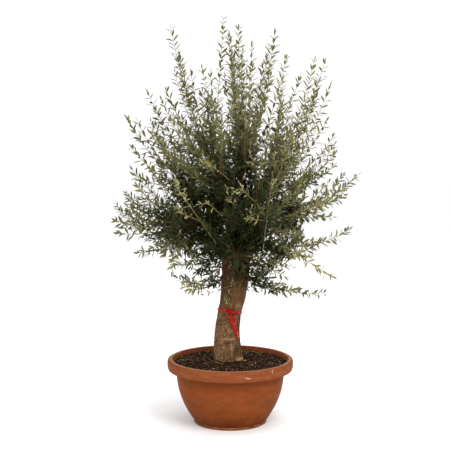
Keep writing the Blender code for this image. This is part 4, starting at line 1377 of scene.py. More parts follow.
def twig_mesh(twigs):
    """Corners and faces of many tapering twigs."""
    corners, quads, ends, quad_kinds, end_kinds = [], [], [], [], []
    count = 0
    for twig in twigs:
        sides, rings = TWIG_SIDES[twig.order], TWIG_RINGS[twig.order]
        middles, slopes = twig.at(np.linspace(0.0, 1.0, rings))
        across = np.cross(slopes[0], (0.31, 0.52, 0.79))
        across /= np.linalg.norm(across)
        turns = np.arange(sides) * tau / sides
        for ring in range(rings):
            across = across - slopes[ring] * across.dot(slopes[ring])
            across /= np.linalg.norm(across)
            other = np.cross(slopes[ring], across)
            thin = (1.0 - ring / (rings - 1)) ** TAPERS[twig.order]
            radius = mix(twig.tip_radius, twig.base_radius, thin)
            corners.append(
                middles[ring] + radius * (np.outer(np.cos(turns), across) + np.outer(np.sin(turns), other)))
        first = np.arange(sides)
        after = (first + 1) % sides
        for ring in range(rings - 1):
            low, high = count + ring * sides, count + (ring + 1) * sides
            quads.append(np.stack((low + first, low + after, high + after, high + first), 1))
        fan = np.arange(1, sides - 1)
        ends.append(np.stack((np.full(sides - 2, count), count + fan + 1, count + fan), 1))
        top = count + (rings - 1) * sides
        ends.append(np.stack((np.full(sides - 2, top), top + fan, top + fan + 1), 1))
        # Dark wood for leaders, for twigs in the darkest shades and for what lies near the head: partly
        # older bark, partly painted shade
        old_and_shaded = np.full(rings - 1, twig.order == LEADER or twig.shade < OLD_AND_SHADED_WOOD)
        old_and_shaded |= (np.linalg.norm(middles[1:] - HEAD, axis=1) < OLD_AND_SHADED_REACH) & (twig.order < FRONT)
        kinds = np.where(old_and_shaded, 0, 1)
        quad_kinds.append(np.repeat(kinds, sides))
        end_kinds.append(np.repeat(kinds[[0, -1]], sides - 2))
        count += sides * rings
    return (
        np.concatenate(corners), [np.concatenate(quads), np.concatenate(ends)],
        [np.concatenate(quad_kinds), np.concatenate(end_kinds)])


# A leaf's outline: share of its length, share of its half width
LEAF_STATIONS = ((0.22, 0.62), (0.52, 1.0), (0.8, 0.66))
LEAF_CORNERS = 14  # its root, four at each station, and its tip
LEAF_TIP = LEAF_CORNERS - 1
LEAF_THICKNESS = 0.0005
LEAF_EDGE = 50  # degrees between faces from which a leaf's edge is sharp
# Shades of sprays by their distance from the crown's heart, most of it across the view: painted shade
# darkens them towards the heart; sprays that hang low beside the trunk are lighter
HEART = HEAD + Vector((-0.032, 0.0, 0.103))
HEART_SHAPE = (1.05, 0.35, 0.85)
HEART_BACK = (0.43, 0.8)  # what lies further before or behind than this counts for this much more
HEART_LEFT = ((1.0, 1.15), (0.66, 1.05))  # heights, and how much what lies on its left counts there
SHADE_DISTANCES = (0.16, 0.26, 0.36, 0.5, 0.9)
SHADE_LEVELS = (-0.2, 0.9, 1.9, 2.8, 3.4)
SHADE_SPREAD = (0.55, 1.0)  # in the crown, and of what hangs low
PARENT_SHARE = 0.25  # how far a side twig's shade follows its shoot's
YOUNG = 4  # the shade number of young leaves; new growth has the next
LOW_SPRAYS = (0.9, 0.83)  # heights between which they grow lighter
LOW_ASIDE = (0.168, 0.24)
LOW_MIDDLE = 0.058  # x
LOW_LIGHTER = 2.5
SHOOT_LIGHTER = 0.7  # how much lighter than its place a leaf on a long shoot may be
OLD_AND_SHADED_WOOD = 2  # shade numbers below this have dark wood, partly older bark and partly painted shade
OLD_AND_SHADED_REACH = 0.3  # so has what lies this near the head, but for what crosses before it
LEAF_FOLD = 0.16
LEAF_OPENING = (52.0, 38.0)  # degrees between a leaf and its twig, along the twig and at its tip
TIP_LEAF_SIZE = 0.7  # of a full-grown leaf
TIP_GROWTH = 0.06  # length of a shoot's end with leaves that are still growing
OPENING_SPREAD = (0.75, 1.25)
TWIN_SPREAD = (0.85, 1.15)  # between the two leaves of a pair
LEAF_LOST = 0.06  # the share of leaves that have dropped
LEAF_LENGTHS = (0.72, 1.12)
LEAF_WIDTHS = (0.8, 1.15)
LEAF_CURL = 0.07
END_LEAF = (0.7, 0.75, 0.05)  # a twig's last leaf: its length and width, and how much it curls


def leaf_mesh(rows):
    """Corners and faces of many leaves, each a closed folded blade."""
    root, heading, face, length, width, curl, shade_number = rows
    across = unit(np.cross(face, heading))
    corners = np.zeros((len(root), LEAF_CORNERS, 3))
    corners[:, 0] = root
    for station, (along, half) in enumerate(LEAF_STATIONS):
        middle = root + heading * (length * along)[:, None] - face * (curl * length * along ** 2)[:, None]
        half_width = (width * half / 2)[:, None]
        lift = face * half_width * LEAF_FOLD * 2
        corners[:, 1 + station * 4] = middle + across * half_width + lift
        corners[:, 2 + station * 4] = middle + face * LEAF_THICKNESS / 2
        corners[:, 3 + station * 4] = middle - across * half_width + lift
        corners[:, 4 + station * 4] = middle - face * LEAF_THICKNESS / 2
    corners[:, LEAF_TIP] = root + heading * length[:, None] - face * (curl * length)[:, None]
    left, top, right, under = 1, 2, 3, 4
    tris, tri_kinds, quads, quad_kinds = [], [], [], []
    for low, high, kind in ((left, top, 0), (top, right, 0), (right, under, 1), (under, left, 1)):
        tris.append((0, high, low))
        tris.append((LEAF_TIP, low + 8, high + 8))
        tri_kinds += [kind, kind]
        for station in (0, 4):
            quads.append((low + station, high + station, high + station + 4, low + station + 4))
            quad_kinds.append(kind)
    offsets = (np.arange(len(root)) * LEAF_CORNERS)[:, None, None]
    shade_slot = (shade_number * 2)[:, None]
    return (
        corners.reshape(-1, 3),
        [(np.array(tris) + offsets).reshape(-1, 3), (np.array(quads) + offsets).reshape(-1, 4)],
        [(np.array(tri_kinds) + shade_slot).ravel(), (np.array(quad_kinds) + shade_slot).ravel()])


def leaf_rows(twig, draw, sizes, first_share, spread, size):
    """Pairs of leaves along a twig, each a quarter turn on, and one leaf at its tip."""
    leafy = twig.length * (1.0 - first_share)
    pairs = max(2, int(leafy / (sizes.pair_spacing * spread * draw.uniform(0.85, 1.2))))
    shares = first_share + (1.0 - first_share) * (np.arange(pairs) + draw.uniform(0.2, 0.8, pairs)) / pairs
    shares = np.clip(shares, 0.0, 0.995)
    spots, slopes = twig.at(shares)
    side = unit(np.cross(slopes, draw.normal(size=3)))
    other = np.cross(slopes, side)
    turns = draw.uniform(0, tau) + np.arange(pairs) * pi / 2 + draw.normal(0, 0.35, pairs)
    flank = side * np.cos(turns)[:, None] + other * np.sin(turns)[:, None]
    tip_share = np.clip(1.0 - (1.0 - shares) * twig.length / TIP_GROWTH, 0.0, 1.0)
    opening = np.radians(mix(*LEAF_OPENING, tip_share)) * draw.uniform(*OPENING_SPREAD, pairs)
    shades = np.full(pairs, twig.shade)
    # Painted shade: leaves on leaders and shoots are at most a little lighter than the shade of their place
    # in the crown
    if twig.order < SIDE:
        middle, low = shade_levels(spots)
        most = np.rint(middle + LOW_LIGHTER * low + SHOOT_LIGHTER).astype(int)
        shades = np.clip(shades, 0, np.maximum(most, 0))
    rows = []
    for sign in (1.0, -1.0):
        keep = draw.uniform(size=pairs) > LEAF_LOST
        angle = opening * draw.uniform(*TWIN_SPREAD, pairs)
        heading = unit(slopes * np.cos(angle)[:, None] + flank * sign * np.sin(angle)[:, None])
        heading[:, 2] += draw.normal(0.0, 0.1, pairs)
        heading = unit(heading)
        face = slopes + np.array((0.0, 0.0, 0.45)) + draw.normal(0.0, 0.45, (pairs, 3))
        face = unit(face - heading * np.sum(face * heading, axis=1)[:, None])
        grown = mix(1.0, TIP_LEAF_SIZE, tip_share) * draw.uniform(*LEAF_LENGTHS, pairs)
        length = sizes.leaf_length * grown * size
        width = sizes.leaf_width * mix(1.0, 0.9, tip_share) * draw.uniform(*LEAF_WIDTHS, pairs) * size
        curl = draw.normal(LEAF_CURL, LEAF_CURL, pairs)
        root = spots + flank * sign * twig.tip_radius * 0.5
        rows.append([part[keep] for part in (root, heading, face, length, width, curl, shades)])
    spot, slope = twig.at([1.0])
    heading = unit(slope + draw.normal(0.0, 0.12, (1, 3)))
    face = unit(np.cross(heading, draw.normal(size=(1, 3))))
    end_length, end_width, end_curl = END_LEAF
    ends = (sizes.leaf_length * size * end_length, sizes.leaf_width * size * end_width, end_curl, twig.shade)
    rows.append([spot, heading, face, *(np.array([value]) for value in ends)])
    return rows


def dense_reach(way):
    """How far the crown's dense part reaches from the head in a direction."""
    return reach_towards(way) * reach_towards(way, DENSES)


def fullness(spot):
    """How far out a place lies, as a share of the dense part's reach that way."""
    out = Vector(spot) - HEAD
    return out.length / dense_reach(out.normalized())


FIRST_SIDE = (0.04, 0.1)  # the share of a leader's way, or of a shoot's, where side twigs begin
LAST_SIDE = 0.94
LONGEST_SIDE = 0.42  # of their shoot's length
SIDE_TURN = 2.4  # from one side twig to the next
SIDE_OPENING = (28.0, 52.0)  # degrees
SIDE_SHORTEST = 0.34  # the share of their length that they have at a shoot's end
SIDE_LENGTHS = (0.45, 1.1)
SIDE_DRAWN_IN = 0.6  # of their length, where they would stand out of the dense part
TWIG_SAG = 0.05  # of its length


def side_twigs(twig, draw, sizes, first_share, longest, plan):
    """Side twigs in turn round the inner part of a shoot, shorter towards its end."""
    made = []
    count = int(twig.length * (1.0 - first_share) / (sizes.lateral_spacing * draw.uniform(0.8, 1.25)))
    phase = draw.uniform(0.0, tau)
    for number in range(count):
        share = first_share + (LAST_SIDE - first_share) * (number + draw.uniform(0.1, 0.9)) / count
        spot, slope = twig.place(share)
        if draw.uniform() > (THINNED[1] - fullness(spot)) / (THINNED[1] - THINNED[0]):
            continue
        side = np.cross(slope, (0.2, 0.3, 0.93))
        side /= np.linalg.norm(side)
        other = np.cross(slope, side)
        turn = phase + number * SIDE_TURN + draw.normal(0.0, 0.3)
        flank = side * cos(turn) + other * sin(turn)
        opening = radians(draw.uniform(*SIDE_OPENING))
        heading = slope * cos(opening) + flank * sin(opening)
        length = longest * mix(1.0, SIDE_SHORTEST, share) * draw.uniform(*SIDE_LENGTHS)
        end = Vector(spot + heading * length)
        if fullness(end) > TWIG_END:
            length *= SIDE_DRAWN_IN
            end = Vector(spot + heading * length)
            if fullness(end) > TWIG_END:
                continue
        near = np.linalg.norm(plan.wood_points - np.array(end), axis=1) - plan.wood_radii
        if near.min() < LIMB_MARGIN:
            continue
        bend = spot + heading * length * 0.55 - np.array((0.0, 0.0, TWIG_SAG * length))
        made.append(Twig([spot, bend, np.array(end)], SIDE_WOOD, SIDE, pick_shade(draw, end, twig.shade)))
    return made


def shade_levels(spots):
    """How light leaves are at some places, darker as painted shade towards the crown's heart, and the share
    of low sprays' lightness that they get.
    """
    out = spots - np.array(HEART)
    aside, back, up = HEART_SHAPE
    aside = np.where(out[:, 0] < 0.0, np.interp(spots[:, 2], *HEART_LEFT), aside)
    away = np.abs(out[:, 1])
    depth = away * back + np.maximum(away - HEART_BACK[0], 0.0) * HEART_BACK[1]
    distance = np.sqrt((out[:, 0] * aside) ** 2 + depth ** 2 + (out[:, 2] * up) ** 2)
    high, low = LOW_SPRAYS
    hang = np.clip((high - spots[:, 2]) / (high - low), 0.0, 1.0)
    beside = (np.abs(spots[:, 0] - LOW_MIDDLE) - LOW_ASIDE[0]) / (LOW_ASIDE[1] - LOW_ASIDE[0])
    return np.interp(distance, SHADE_DISTANCES, SHADE_LEVELS), hang * np.clip(beside, 0.0, 1.0)


def pick_shade(draw, spot, parent=None):
    """The number of a spray's shade: darkest in the crown's heart and lightest at its edge, as painted
    shade.
    """
    middle, low = (float(part[0]) for part in shade_levels(np.array([tuple(spot)])))
    if parent is not None:
        middle = mix(middle, parent, PARENT_SHARE)
    level = round(middle + LOW_LIGHTER * low + draw.normal(0.0, mix(*SHADE_SPREAD, low)))
    return int(min(max(level, 0), YOUNG))


def flat_limited(end, beyond):
    """A shoot's end, drawn in where it would stand out of the dense part, seen from the front."""
    out = end - HEAD
    flat = Vector((out.x, 0.0, out.z))
    way = flat.normalized()
    limit = reach_towards(way) * (reach_towards(way, DENSES) + beyond)
    return HEAD + out * min(1.0, limit / max(flat.length, 0.01))


def set_back(end, depth):
    """A point moved back from the camera, or half as far forward if it left the box."""
    eye = Vector(CAMERA_PLACE)
    moved = eye + (end - eye) * (1.0 + depth / (end.y - eye.y))
    low, high = FRAME_BOX
    if all(low[axis] + BOX_MARGIN < moved[axis] < high[axis] - BOX_MARGIN for axis in range(3)):
        return moved
    return eye + (end - eye) * (1.0 - abs(depth) * 0.5 / (end.y - eye.y))


def long_ends(tip_room):
    """Where the long shoots end: those at the crown's sides as listed, then more all round."""
    ends = []
    for number, (lean, reach) in enumerate(LONG_SHOOTS):
        lean = radians(lean)
        room = max(DEPTH_ROOM[0] - reach, 0.0) * DEPTH_ROOM[1]
        reach -= tip_room
        end = HEAD + Vector((sin(lean) * reach, 0.0, cos(lean) * reach))
        ends.append(set_back(end, LONG_DEPTHS[number % len(LONG_DEPTHS)] * room))
    for number in range(ROUND_SHOOTS):
        aim = bearing_vector(number * ROUND_TURN, mix(*ROUND_LEANS, (number / ROUND_SHOOTS) ** 0.7))
        if abs(aim.y) > abs(aim.x) * ROUND_ASIDE:
            reach = reach_towards(aim) * mix(*ROUND_REACH, (number * ROUND_STEP) % 1.0)
            ends.append(flat_limited(HEAD + aim * (reach - tip_room), ROUND_BEYOND))
    return ends


def long_shoots(name, plan, leader, tip_room):
    """The long shoots whose line lies nearest this mass's own axis."""
    draw = random.Random("long " + name)
    found = []
    for end in long_ends(tip_room):
        nearest = min(plan.axes, key=lambda key: plan.axes[key].angle(end - HEAD))
        if nearest == name:
            start = bezier(leader, draw.uniform(*LONG_START))
            curve = shoot_curve(start, end)
            curve[1] += Vector((end.x - start.x, end.y - start.y, 0.0)) * LONG_BOW
            found.append(curve)
    return found


def grow_mass(name, plan, sizes):
    """Every twig of a mass, and the rows of its leaves."""
    draw = np.random.default_rng([ord(letter) for letter in "fine " + name])
    space = Space(name, plan)
    axis = plan.axes[name]
    _, foot_radius = plan.feet[name]
    curves = main_shoots(name, plan, space)
    leader = curves[0]
    tip_room = sizes.leaf_length * TIP_LEAF
    twigs = []
    for number, curve in enumerate(curves):
        way = (curve[-1] - curve[0]).length
        drawn_in = (curve[-1] - flat_limited(curve[-1], draw.uniform(*FLAT_BEYOND))).length
        curve = trimmed(curve, 1.0 - max(tip_room, drawn_in) / way)
        wood = MAIN_WOOD if number else (foot_radius * STEM_BASE, MAIN_WOOD[1])
        twigs.append(Twig(curve, wood, SHOOT if number else LEADER, pick_shade(draw, curve[-1])))
    for curve in long_shoots(name, plan, leader, tip_room):
        twigs.append(Twig(curve, LONG_WOOD, SHOOT, pick_shade(draw, curve[-1])))
    for number in range(int(sizes.fine_shoots * BUSHINESS.get(name, 1.0))):
        start = bezier(leader, draw.uniform(*FINE_START))
        for _ in range(SHOOT_TRIES):
            fan = space.fan * FINE_FAN * sqrt(draw.uniform(0.03, 1.0))
            aim = fanned(axis, fan, draw.uniform(0.0, tau))
            end = HEAD + aim * max(dense_reach(aim) * draw.uniform(*FINE_REACH) - tip_room, LEAST_REACH)
            curve = shoot_curve(start, end)
            if space.holds(curve, FINE_SAMPLES, FINE_MARGIN):
                twigs.append(Twig(curve, FINE_WOOD, SHOOT, pick_shade(draw, end)))
                break
    rows = []
    laterals = []
    for twig in twigs:
        longest = min(sizes.lateral_length, twig.length * LONGEST_SIDE)
        laterals += side_twigs(twig, draw, sizes, FIRST_SIDE[twig.order], longest, plan)
        rows += leaf_rows(twig, draw, sizes, *SHOOT_LEAVES)
    for twig in laterals:
        rows += leaf_rows(twig, draw, sizes, *SIDE_LEAVES)
    return twigs + laterals, rows


def in_bounds(rows):
    """Keep leaves with their tips in the solids' box and off the trunk, and few before its front."""
    low = np.array(FRAME_BOX[0]) - BOX_MARGIN
    high = np.array(FRAME_BOX[1]) + BOX_MARGIN
    root, heading, _, length = rows[:4]
    tips = root + heading * length[:, None]
    inside = np.all((tips > low) & (tips < high), axis=1)
    front = (tips[:, 1] < 0.0) & (np.abs(tips[:, 0] - HEAD.x) < FRONT_WIDTH)
    high, low = FRONT_FRINGE
    chance = np.random.default_rng(len(root)).uniform(0.0, 1.0, len(root)) ** FRINGE_POWER
    raised = np.where(tips[:, 0] < LEFT_FRINGE[0], LEFT_FRINGE[1], 0.0)
    inside &= ~(front & ((tips[:, 2] - low - raised) / (high - low) < chance))
    inside &= (tips[:, 2] > LOWEST_LEAF) | (np.abs(tips[:, 0] - HEAD.x) > LOW_WIDTH)
    heights, middles, widths = np.array(TRUNK_STATIONS).T
    away = np.hypot(tips[:, 0] - np.interp(tips[:, 2], heights, middles), tips[:, 1] - TRUNK_Y)
    clear = away > np.interp(tips[:, 2], heights, widths / 2) * TRUNK_CLEAR
    return [part[inside & (clear | (tips[:, 2] > heights[-1]))] for part in rows]


# Boxes about the trunk's fork in which the short twigs before it start: from and to along X, Y and Z
APRON_BOX = ((-0.11, 0.11), (-0.13, -0.05), (0.0, 0.13))
BIB_BOX = ((-0.07, 0.07), (-0.1, -0.075), (-0.07, 0.0))
TRUNK_TWIG_HEIGHTS = (0.73, 0.85)
INNER_LENGTHS = (0.45, 1.0)
INNER_ROOT = 0.7  # of its limb's radius: where a short twig starts


def inner_twigs(plan, sizes):
    """Short twigs all over the limbs and the trunk's top, which fill the crown's middle."""
    draw = np.random.default_rng(1207)
    twigs = []
    for limb in plan.limbs.values():
        length = sum((high - low).length for low, high in pairwise(limb.points))
        count = int(length / sizes.inner_spacing)
        for number in range(count):
            share = (number + draw.uniform()) / count
            middle, slope = bezier(limb.points, share), slope_at(limb.points, share)
            flank = Vector(draw.normal(size=3)).cross(slope).normalized()
            heading = (slope * draw.uniform(0.0, 0.9) + flank).normalized()
            twigs.append((middle + flank * limb.radius(share) * INNER_ROOT, heading))
    for middle, foot, radius in plan.stubs:
        slope = (foot - middle).normalized()
        for _ in range(sizes.stub_twigs):
            flank = Vector(draw.normal(size=3)).cross(slope).normalized()
            start = middle.lerp(foot, draw.uniform(0.7, 1.0)) + flank * radius * INNER_ROOT
            twigs.append((start, (slope * draw.uniform(0.3, 1.2) + flank).normalized()))
    for _ in range(sizes.apron_twigs):
        start = FORK + Vector([draw.uniform(*ends) for ends in APRON_BOX])
        heading = Vector((draw.normal(0.0, 0.6), draw.uniform(-0.9, 0.1), draw.uniform(-0.7, 0.7)))
        twigs.append((start, heading))
    for _ in range(sizes.bib_twigs):
        start = FORK + Vector([draw.uniform(*ends) for ends in BIB_BOX])
        heading = Vector((draw.normal(0.0, 0.35), draw.uniform(-0.35, 0.0), -0.9))
        twigs.append((start, heading))
    for _ in range(sizes.trunk_twigs):
        middle, radius = trunk_station(draw.uniform(*TRUNK_TWIG_HEIGHTS))
        flank = level_vector(draw.uniform(0.0, tau))
        flank = (flank + UP * draw.uniform(-0.3, 0.6)).normalized()
        twigs.append((middle + flank * radius * 0.9, flank))
    made = []
    for start, heading in twigs:
        length = sizes.inner_length * draw.uniform(*INNER_LENGTHS)
        end = start + heading * length
        end.z = max(end.z, LOWEST_TWIG)
        bend = start + heading * length * 0.5 - UP * TWIG_SAG * length
        shade_number = pick_shade(draw, end)
        # Painted shade: short twigs high in the crown or near the trunk's middle take one of the two darkest
        # shades
        if end.z > LOW_SPRAYS[0] or abs(end.x - LOW_MIDDLE) < LOW_ASIDE[0]:
            shade_number = min(shade_number, 1)
        made.append(Twig([start, bend, end], INNER_WOOD, SIDE, shade_number))
    return made


FORKS = 2  # finer twigs on each short twig
FORK_SHARES = (0.25, 0.8)
FORK_LENGTHS = (0.35, 0.65)
FRONT_BOW = Vector((0.0, -0.06, 0.01))
SPRAY_SHARES = (0.97, 0.92, 0.84, 0.74)  # of a front shoot's way
SPRAY_LENGTH = 0.05
CROSS_SHADE = 3


def straight_twig(spot, way, wood, shade_number):
    """A straight side twig from a spot, as far and where a vector says."""
    return Twig([spot, spot + way * 0.5, spot + way], wood, SIDE, shade_number)


def front_growth(draw, sizes):
    """The slim shoots before the crown's middle, with the sprays at their ends."""
    made, rows = [], []
    for start_x, start_height, end_x, end_height, sprays in FRONT_SHOOTS:
        start = Vector((start_x, FRONT_DEPTHS[0], start_height))
        end = Vector((end_x, FRONT_DEPTHS[1], end_height))
        shoot = Twig(
            [start, start.lerp(end, 0.5) + FRONT_BOW, end], FRONT_WOOD, FRONT, YOUNG if sprays else 1)
        made.append(shoot)
        rows += leaf_rows(shoot, draw, sizes, *FRONT_LEAVES)
        for number, share in enumerate(SPRAY_SHARES[:sprays]):
            spot, slope = shoot.place(share)
            heading = unit(slope[None, :] + draw.normal(0.0, 0.5, (1, 3)))[0]
            made.append(straight_twig(spot, heading * SPRAY_LENGTH, FINER_WOOD, YOUNG + number % 2))
            rows += leaf_rows(made[-1], draw, sizes, *SPRAY_LEAVES)
    return made, rows


def trunk_sprouts(draw, sizes):
    """The small sprouts on the trunk, and the bare twig that crosses before it."""
    made, rows = [], []
    for height, angle, length in SPROUTS:
        angle = radians(angle)
        start = trunk_point(height, angle, 0.001)
        heading = (level_vector(angle) + UP * draw.uniform(-0.2, 1.0)).normalized()
        bend = start + heading * length * 0.5
        points = [start, bend, bend + UP * length * 0.5]
        made.append(Twig(points, SPROUT_WOOD, SIDE, YOUNG + len(made) % 2))
        rows += leaf_rows(made[-1], draw, sizes, *SPROUT_LEAVES)
    made.append(Twig(CROSS_TWIG, CROSS_WOOD, FRONT, CROSS_SHADE))
    rows += leaf_rows(made[-1], draw, sizes, *CROSS_LEAVES)
    return made, rows


def dress(name, twigs, leaves, wood, shades, *nodes):
    """Two pieces for a part of the crown, its twigs and its leaves, that stand for its nodes."""
    corners, faces, kinds = twig_mesh(twigs)
    twig_piece = mesh_object("twigs_" + name, corners, faces, wood, kinds)
    twig_piece.data.shade_smooth()
    stand_for(twig_piece, "bark", *nodes)
    corners, faces, kinds = leaf_mesh(leaves)
    leaf_piece = mesh_object("leaves_" + name, corners, faces, shades, kinds)
    leaf_piece.data.shade_smooth()
    leaf_piece.data.set_sharp_from_angle(angle=radians(LEAF_EDGE))
    stand_for(leaf_piece, "foliage", *nodes)
    return len(leaves[0])


def model_inner(plan, sizes, shades, wood):
    """The twigs and leaves of the crown's middle."""
    draw = np.random.default_rng(88)
    twigs = inner_twigs(plan, sizes)
    finer = []
    for twig in twigs:
        for _ in range(FORKS):
            spot, slope = twig.place(draw.uniform(*FORK_SHARES))
            heading = slope + draw.normal(0.0, 0.6, 3)
            heading /= np.linalg.norm(heading)
            length = twig.length * draw.uniform(*FORK_LENGTHS)
            finer.append(straight_twig(spot, heading * length, FINER_WOOD, twig.shade))
    twigs += finer
    rows = []
    for twig in twigs:
        rows += leaf_rows(twig, draw, sizes, *INNER_LEAVES)
    front, front_rows = front_growth(draw, sizes)
    low, low_rows = trunk_sprouts(draw, sizes)
    leaves = joined([in_bounds(joined(rows + front_rows)), *low_rows])
    return dress("inner", twigs + front + low, leaves, wood, shades)


def model_mass(name, plan, sizes, shades, wood):
    """The twigs and the leaves of one mass."""
    twigs, rows = grow_mass(name, plan, sizes)
    return dress(name, twigs, in_bounds(joined(rows)), wood, shades, "mass_" + name)


# ---- Tape ----

TAPE_THICKNESS = 0.0007
TAPE_FOLD = 0.0005
BAND_STEPS = 72
BAND_CLEAR = 0.0042
# The band's creases: how close they stand, how far they shift its middle, and how much they widen it
CREASES = 2.6
CREASE_SHIFT = 0.0016
CREASE_SWELL = 0.3
KNOT_CLEAR = 0.008
# The knot's loops: shift from its middle, half width and half height, turn in degrees
LOOPS = (
    ((-0.011, -0.002, 0.01), (0.015, 0.01), 30.0),
    ((0.011, -0.004, 0.005), (0.016, 0.01), -38.0),
    ((0.0, -0.006, -0.006), (0.012, 0.01), 80.0),
)
LOOP_STEPS = 20
LOOP_DEPTH = 0.0045
LOOP_FACING = Vector((0.0, -0.6, 0.0))
LUMP_RADIUS = 0.0085
LUMP_SHAPE = Vector((1.25, 0.75, 1.0))
# The tails: angles at their top and their end in degrees, how far they drop, and their width
TAILS = (
    ("tape_tail_long", -95, -34, 0.122, 0.0175),
    ("tape_tail_short", -64, -54, 0.048, 0.011),
)
TAIL_STEPS = 22
TAIL_TOP = 0.008
TAIL_CLEAR = 0.0045


def tape_middle(angle):
    """Height of the tape's middle line where it passes an angle round the trunk."""
    _, radius = trunk_station(TAPE_HEIGHT)
    return TAPE_HEIGHT + (TAPE_TILT * cos(angle) - TAPE_LIFT * sin(angle)) * radius


def ribbon(name, path, closed=False, rows=5):
    """A thin strip of tape along a path of points, outward directions and widths."""
    count = len(path)
    corners = []
    for index, (middle, out, width) in enumerate(path):
        before = path[(index - 1) % count if closed or index else 0][0]
        after = path[(index + 1) % count if closed or index < count - 1 else -1][0]
        across = out.cross((after - before).normalized()).normalized()
        for row in range(rows):
            fold = sin(row * 2.1 + index * 0.9) * TAPE_FOLD
            corners.append(tuple(middle + across * (row / (rows - 1) - 0.5) * width + out * fold))
    low = (np.arange(count if closed else count - 1)[:, None] * rows + np.arange(rows - 1)).ravel()
    high = (low + rows) % (count * rows)
    strip = mesh_object(name, np.array(corners), [np.stack((low, high, high + 1, low + 1), 1)], [])
    thick = strip.modifiers.new("thickness", "SOLIDIFY")
    thick.thickness = TAPE_THICKNESS
    thick.offset = 0.0
    finer = strip.modifiers.new("finer", "SUBSURF")
    finer.levels = finer.render_levels = 1
    apply_modifiers(strip)
    bpy.ops.object.mode_set(mode="EDIT")
    face_outwards()
    return strip


def tape_band(width):
    """The creased band round the trunk."""
    path = []
    for step in range(BAND_STEPS):
        angle = tau * step / BAND_STEPS
        crease = noise.noise(level_vector(angle) * CREASES + UP * 4.0)
        middle = trunk_point(tape_middle(angle) + crease * CREASE_SHIFT, angle, BAND_CLEAR)
        path.append((middle, level_vector(angle), width * (1.0 + CREASE_SWELL * crease)))
    return ribbon("tape_band", path, closed=True)


def tape_knot(width):
    """The knot: loops bunched about a lump."""
    middle = trunk_point(tape_middle(radians(-90)), radians(-90), KNOT_CLEAR)
    parts = []
    for shift, (wide, tall), turn in LOOPS:
        path = []
        for step in range(LOOP_STEPS):
            angle = tau * step / LOOP_STEPS
            flat = Vector((cos(angle) * wide, sin(angle) * LOOP_DEPTH, sin(angle) * tall))
            flat = Matrix.Rotation(radians(turn), 3, "Y") @ flat
            out = (flat.normalized() + LOOP_FACING).normalized()
            path.append((middle + Vector(shift) + flat, out, width * (0.62 + 0.2 * sin(angle * 3))))
        parts.append(ribbon("tape_loop", path, closed=True, rows=4))
    deselect_all()
    bpy.ops.mesh.primitive_uv_sphere_add(segments=20, ring_count=12, radius=LUMP_RADIUS, location=middle)
    lump = bpy.context.object
    settle(lump)
    spots = corner_array(lump)
    for index, spot in enumerate(spots):
        local = Vector(spot) - middle
        ridge = 1.0 + 0.22 * noise.noise(local * 220.0) + 0.1 * sin(local.x * 900.0)
        spots[index] = middle + local * LUMP_SHAPE * ridge
    move_corners(lump, spots)
    return fused("tape_knot", *parts, lump)


def tape_tail(name, start, end, drop, width):
    """A loose tail from the knot down the trunk's front."""
    path = []
    for step in range(TAIL_STEPS):
        share = step / (TAIL_STEPS - 1)
        angle = radians(mix(start, end, share))
        height = tape_middle(radians(start)) - TAIL_TOP - drop * share
        clear = TAIL_CLEAR + 0.003 * sin(pi * share) + sin(share * 9.0) * 0.0012
        out = Matrix.Rotation(0.5 * sin(share * 7.0), 3, "Z") @ level_vector(angle)
        path.append((trunk_point(height, angle, clear), out, width * mix(0.7, 1.15, share)))
    return ribbon(name, path)


def model_tape(sizes, colours):
    """The red tape: a creased band, a bunched knot of loops and two tails."""
    finish = tape_plastic(colours)
    pieces = [tape_band(sizes.tape_width), tape_knot(sizes.tape_width)]
    pieces += [tape_tail(*tail) for tail in TAILS]
    for piece in pieces:
        piece.data.materials.clear()
        piece.data.materials.append(finish)
        shade(piece, 50)
        stand_for(piece, "marker_tape", "marker_" + piece.name)


# ---- Stage ----

STAGE_RADIUS = 40.0
PAPER = (0.97, 0.97, 0.97)
SKY_STRENGTH = 1.04
# The lights: place, turn in degrees, size and power
LIGHTS = (
    ("key_light", (1.5, -2.8, 3.6), (48.0, 0.0, 27.0), 2.2, 90.0),
    ("fill_light", (-2.2, -3.0, 2.0), (65.0, 0.0, -37.0), 2.6, 14.0),
    ("top_light", (0.3, 0.0, 4.4), (0.0, 0.0, 0.0), 3.0, 80.0),
)


def set_stage():
    """A white floor and sky, soft lights, and a camera a little above the crown's middle."""
    deselect_all()
    bpy.ops.mesh.primitive_circle_add(vertices=96, radius=STAGE_RADIUS, fill_type="NGON")
    floor = bpy.context.object
    floor.name = "studio_floor"
    floor.data.materials.append(plain("studio_paper", PAPER, 0.9, 0.0))
    world = bpy.data.worlds.new("studio_sky")
    world.use_nodes = True
    sky = world.node_tree.nodes["Background"]
    sky.inputs["Color"].default_value = (1.0, 1.0, 1.0, 1.0)
    sky.inputs["Strength"].default_value = SKY_STRENGTH
    bpy.context.scene.world = world
    for name, place, turn, size, power in LIGHTS:
        bpy.ops.object.light_add(
            type="AREA", location=place, rotation=[radians(angle) for angle in turn])
        light = bpy.context.object
        light.name = name
        light.data.shape = "DISK"
        light.data.size = size
        light.data.energy = power
    bpy.ops.object.camera_add(location=CAMERA_PLACE, rotation=(CAMERA_PITCH, 0.0, 0.0))
    camera = bpy.context.object
    camera.data.lens = CAMERA_LENS
    camera.data.sensor_width = 36.0
    camera.data.clip_end = 100.0
    bpy.context.scene.camera = camera
    bpy.context.scene.view_settings.view_transform = "Standard"


# ---- Operators and panel ----


class Step:
    """A step that models its pieces from the scene's sizes and colours."""

    def execute(self, context):
        self.model(context.scene.olive_sizes, context.scene.olive_colours)
        return {"FINISHED"}


class OLIVE_OT_pot(Step, bpy.types.Operator):
    """Model the clay-coloured bowl"""

    bl_idname = "olive.pot"
    bl_label = "Pot"

    def model(self, sizes, colours):
        model_pot(sizes, colours)


